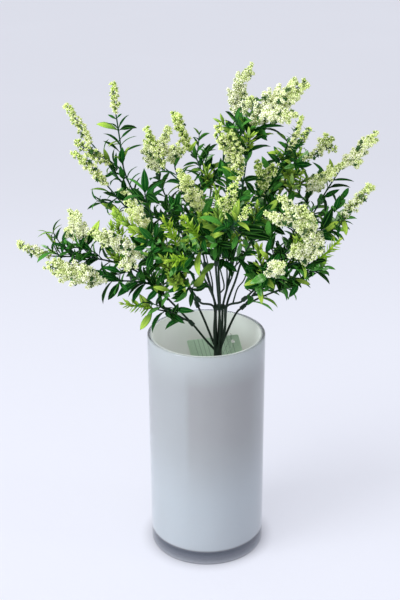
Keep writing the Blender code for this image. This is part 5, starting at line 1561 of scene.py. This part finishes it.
# Clusters from each stalk's tip inwards
inwards = tree.add("GeometryNodeReverseCurve", {}, {"Curve": stalks})["Curve"]
knots = tree.add("GeometryNodeCurveToPoints", {"mode": "LENGTH"}, {
    "Curve": inwards, "Length": entry["Cluster Radius"] * CLUSTER_SPACING})
places = store(knots["Points"], "tint", chance(0, 1, 5))
opening = tree.add("FunctionNodeAlignRotationToVector", {"axis": "Z"}, {
    "Vector": scaled(knots["Tangent"], -1.0)})["Rotation"]
opening = turned_by(turned_by(opening, (0, 0, 1), chance(0, math.tau, 7)), (1, 0, 0), chance(-0.5, 0.5, 10))
cluster_size = chance(0.78, 1.15, 8)
clusters = tree.add("GeometryNodeInstanceOnPoints", {}, {
    "Points": places, "Selection": outer.apply("GREATER_THAN", 0.35), "Instance": cluster,
    "Rotation": opening, "Scale": tree.vector(cluster_size, cluster_size, cluster_size)})["Instances"]
threads = thick(tree, stalks, 3, entry["Stalk Radius"])
rods = thick(tree, axis, 5, entry["Stalk Radius"] * 2.4)
bead_panicle = close(tree.add("GeometryNodeJoinGeometry", {}, {"Geometry": [
    painted(tree, clusters, entry["Bead Skin"]), painted(tree, threads, entry["Stalk Skin"]),
    painted(tree, rods, entry["Stalk Skin"])]})["Geometry"])


DARK_TUFT = (0.02, 0.10, 0.012)
# The beads' painted glow, as if light came through them
BEAD_PAINTED_GLOW = (0.045, 0.050, 0.02)


def bead_skin(name, shade, body, lit, white, young):
    """Matt moulded beads: a green painted shade deep in a tuft, pale outside, dark in a few low tufts, fresh
    at the tip.
    """
    skin, tree, feed, place = new_material(name, {"Specular IOR Level": 0.4, "Emission Strength": 1.0})
    bud = tree.attribute("bud")
    tint = tree.attribute("tint")
    outer = tree.attribute("outer")
    grade = tree.attribute("grade")
    grain = tree.noise(place, 900, 2, 0.6)
    # Painted shade: beads deep in a tuft and tufts near the axis turn darker and greener; the lit and white
    # stops are the cream outside with painted light
    tone = tree.ramp(bud * 0.52 + grade * 0.25 + tint * 0.16 + outer * 0.10 + grain * 0.1 - 0.05,
                     (0.43, shade), (0.54, body), (0.65, lit), (0.82, white))
    late = tree.attribute("late")
    tone = tree.mix(tint.step(0.15, 0.09) * late.step(0.85, 0.6), tone, DARK_TUFT)
    fresh = late.step(0.35, 1.0) * (0.35 + 0.5 * tint)
    tone = tree.mix(fresh, tone, young, "MULTIPLY")
    # The emission is a painted glow
    feed(Base_Color=tone,
         Emission_Color=tree.mix(1.0, tone, BEAD_PAINTED_GLOW, "MULTIPLY"),
         Roughness=0.42 + 0.2 * grain,
         Normal=tree.bump(grain, 0.0003, 0.5))
    return skin


bead_cream = bead_skin("bead_cream", shade=(0.03, 0.10, 0.012), body=(0.44, 0.56, 0.15),
                       lit=(0.92, 0.96, 0.60), white=(1.0, 0.99, 0.87), young=(0.88, 1.0, 0.45))
bead_green = bead_skin("bead_green", shade=(0.03, 0.12, 0.012), body=(0.42, 0.59, 0.08),
                       lit=(0.90, 0.96, 0.44), white=(1.0, 1.0, 0.74), young=(0.88, 1.0, 0.55))
stalk_green, tree, feed, place = new_material("stalk_green", {"Specular IOR Level": 0.4})
grain = tree.noise(place, 500, 2, 0.6)
feed(Base_Color=tree.ramp(grain, (0.3, (0.05, 0.12, 0.03)), (0.7, (0.16, 0.27, 0.07))),
     Roughness=0.4 + 0.2 * grain,
     Normal=tree.bump(grain, 0.0002, 0.3))


def spindle_stations(route, width, step):
    """A lobe's axis with its outline's girth: full soon after its foot, then narrower to its tip."""
    stations = []
    count = max(8, round(route.length / (1.2 * MM)))
    for k in range(count + 1):
        share = k / count
        filled = min(1.0, PLUME_FOOT + PLUME_FILL * share)
        narrowed = 1 - PLUME_NARROWING * share ** PLUME_NARROWING_POWER
        lumpy = 1 + (LUMP_DEPTH * math.cos(math.tau * share * route.length / step) if step else 0)
        stations.append((route.at(route.length * share)[0], 0.5 * width * filled * narrowed * lumpy))
    return stations


def side_lobes(route, width, draw):
    """Short branches that part from a full plume's axis and make its outline lobed, with their shares."""
    lobes = []
    count = max(4, round(route.length / LOBE_PITCH))
    for k in range(count):
        share = LOBES_FROM + LOBES_OVER * (k + draw.uniform(-0.25, 0.25)) / count
        point, tangent, radial, side = route.at(route.length * max(0.0, share))
        turn = GOLDEN_ANGLE * k + draw.uniform(-0.4, 0.4)
        out = swung(radial, side, turn)
        room = 0.5 * width * min(1.0, PLUME_FOOT + PLUME_FILL * share) * (1 - 0.5 * share ** 2)
        length = draw.uniform(0.76, 0.96) * room / math.sin(LOBE_SPREAD)
        tip = point + swung(tangent, out, LOBE_SPREAD) * length + tangent * 0.08 * length
        lobes.append((share, in_mm((point, point.lerp(tip, 0.55) - tangent * 0.05 * length, tip))))
    return lobes


def heads(kind):
    """What the shoots carry of one kind, each with its route."""
    return [(shoot.head, head_route(shoot, route)) for spray in SPRAYS
            for _, shoot, route in numbered_shoots(spray) if isinstance(shoot.head, kind)]


for number, (plume, main_route) in enumerate(heads(Plume), 1):
    slim = plume.width < SLIM_WIDTH
    green = plume.name in GREEN_PLUMES or slim and plume.name not in CREAM_PLUMES
    runs = Runs()
    draw = random.Random(plume.name + "_lobes")
    for axis_route, width in [(main_route, plume.width)] + [(Route(p), w) for p, w in plume.lobes]:
        full = width * MM + PLUME_EXTRA_WIDTH[slim]
        core = full * (1 if slim else CORE_SHARE)
        runs.run(spindle_stations(axis_route, core, slim * LUMP_PITCH), "rising")
        for share, lobe in [] if slim else side_lobes(axis_route, full, draw):
            runs.run(spindle_stations(Route(lobe), draw.uniform(*LOBE_WIDTHS), 0), share)
    plume_piece = grown(plume.name + "_beads", runs, bead_panicle, Seed=20 * number, **{
        "Branch Pitch": STALK_PITCH[slim],
        "Cluster Radius": TUFT_RADIUS[slim],
        "Bead Radius": BEAD_RADIUS[slim],
        "Bead Length": BEAD_LENGTH[slim],
        "Bead Skin": bead_green if green else bead_cream,
        "Stalk Skin": stalk_green})
    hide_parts(plume.name)
    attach(plume_piece, "root")


# Sprigs
# New shoots moulded in a bright yellow-green: a slim core with whorls of small pointed bracts, a second row
# of whorls between them, and four bracts that close over the tip.

BRACT_PITCH = 5 * MM
BRACT_WHORL = 3
BRACT_SHORTENING = 0.35
TIP_BRACTS = 4
SPRIG_CORE = 1.0 * MM

sprig_plastic = leaf_skin(
    "sprig_plastic", dark=(0.03, 0.13, 0.004), middle=(0.20, 0.48, 0.015), light=(0.50, 0.78, 0.06),
    pale=(0.85, 0.96, 0.42), fresh=(0.66, 0.86, 0.12), gloss=0.28, glow=0.07)
for sprig, route in heads(Sprig):
    draw = random.Random(sprig.name)
    looks = random.Random(sprig.name + "_looks")
    runs = Runs()
    runs.run(stations_along(route, 0, SPRIG_CORE, 0.5 * SPRIG_CORE))
    whorls = int((route.length - BRACT_PITCH) / BRACT_PITCH)
    for whorl in range(whorls):
        point, tangent, radial, side = route.at(BRACT_PITCH * (whorl + 0.8))
        for k in range(BRACT_WHORL):
            angle = math.tau * (k / BRACT_WHORL + 0.5 * (whorl % 2) / BRACT_WHORL) + draw.uniform(-0.2, 0.2)
            out = swung(radial, side, angle)
            size = (1 - BRACT_SHORTENING * whorl / whorls) * draw.uniform(0.9, 1.1)
            add_leaf(runs, looks, BRACT, point, tangent, out, 1.05 * size, 0.12, 0.5 * whorl / whorls)
    for whorl in range(whorls + 1):
        point, tangent, radial, side = route.at(BRACT_PITCH * (whorl + 0.3))
        for k in range(BRACT_WHORL):
            angle = math.tau * (k + 0.5 - 0.5 * (whorl % 2)) / BRACT_WHORL + looks.uniform(-0.3, 0.3)
            out = swung(radial, side, angle)
            size = looks.uniform(0.7, 0.95)
            add_leaf(runs, looks, BRACT, point, tangent, out, size, 0.05, 0.5 * whorl / whorls)
    end, tangent, radial, side = route.at(route.length)
    for k in range(TIP_BRACTS):
        out = swung(radial, side, math.tau * k / TIP_BRACTS + 0.4)
        add_leaf(runs, looks, BRACT, end - tangent * SPRIG_CORE, tangent, out, 0.6, math.radians(-28), 0.7)
    sprig_piece = grown(sprig.name + "_bracts", runs, leafy_twigs, Sides=7, **{
        "Leaf Shapes": leaf_shapes, "Leaf Skin": sprig_plastic, "Twig Skin": sprig_plastic})
    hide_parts(sprig.name)
    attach(sprig_piece, "root")


# Hang tag and tie
# A thin card of pale green paper with plain ruled lines, which hangs inside the vase from a clear plastic
# loop round the trunk. Both keep their solids' shape and get their finish here.

TAG_TOP = Vector((6, 22, 225)) * MM
TAG_WIDTH = 58 * MM
TAG_YAW = math.radians(-18)
TAG_ROLL = math.radians(15)
RULE_PITCH = 4.6 * MM
RULES_END = 0.5 * TAG_WIDTH - 6 * MM

tag_paper, tree, feed, place = new_material("tag_paper", {"Specular IOR Level": 0.3})
fibre = tree.noise(place, 700, 4, 0.7)
tag_across = Vector((math.cos(TAG_YAW) * math.cos(TAG_ROLL), math.sin(TAG_YAW) * math.cos(TAG_ROLL),
                     math.sin(TAG_ROLL)))
across = tree.add("ShaderNodeVectorMath", {"operation": "DOT_PRODUCT"}, {
    0: place, 1: tuple(tag_across)})["Value"] - TAG_TOP.dot(tag_across)
row = (across / RULE_PITCH).apply("FRACT")
far = across.apply("ABSOLUTE")
ruled = row.step(0.40, 0.46) * row.step(0.60, 0.54) * far.step(RULES_END + 0.1 * MM, RULES_END)
paper = tree.ramp(fibre, (0.3, (0.44, 0.62, 0.45)), (0.7, (0.55, 0.71, 0.54)))
feed(Base_Color=tree.mix(ruled * (0.35 + 0.5 * fibre), paper, (0.12, 0.22, 0.14)),
     Roughness=0.6 + 0.2 * fibre,
     Normal=tree.bump(fibre, 0.0002, 0.4))
tie_plastic, tree, feed, place = new_material("tie_plastic", {"Transmission Weight": 0.92, "IOR": 1.3})
frost = tree.noise(place, 300, 2)
feed(Base_Color=tree.ramp(frost, (0.3, (0.80, 0.83, 0.82)), (0.7, (0.90, 0.92, 0.91))),
     Roughness=0.05 + 0.1 * frost)
for node_name, skin in (("tag_card", tag_paper), ("tag_tie", tie_plastic)):
    skins = frame["nodes"][node_name].data.materials
    skins.clear()
    skins.append(skin)
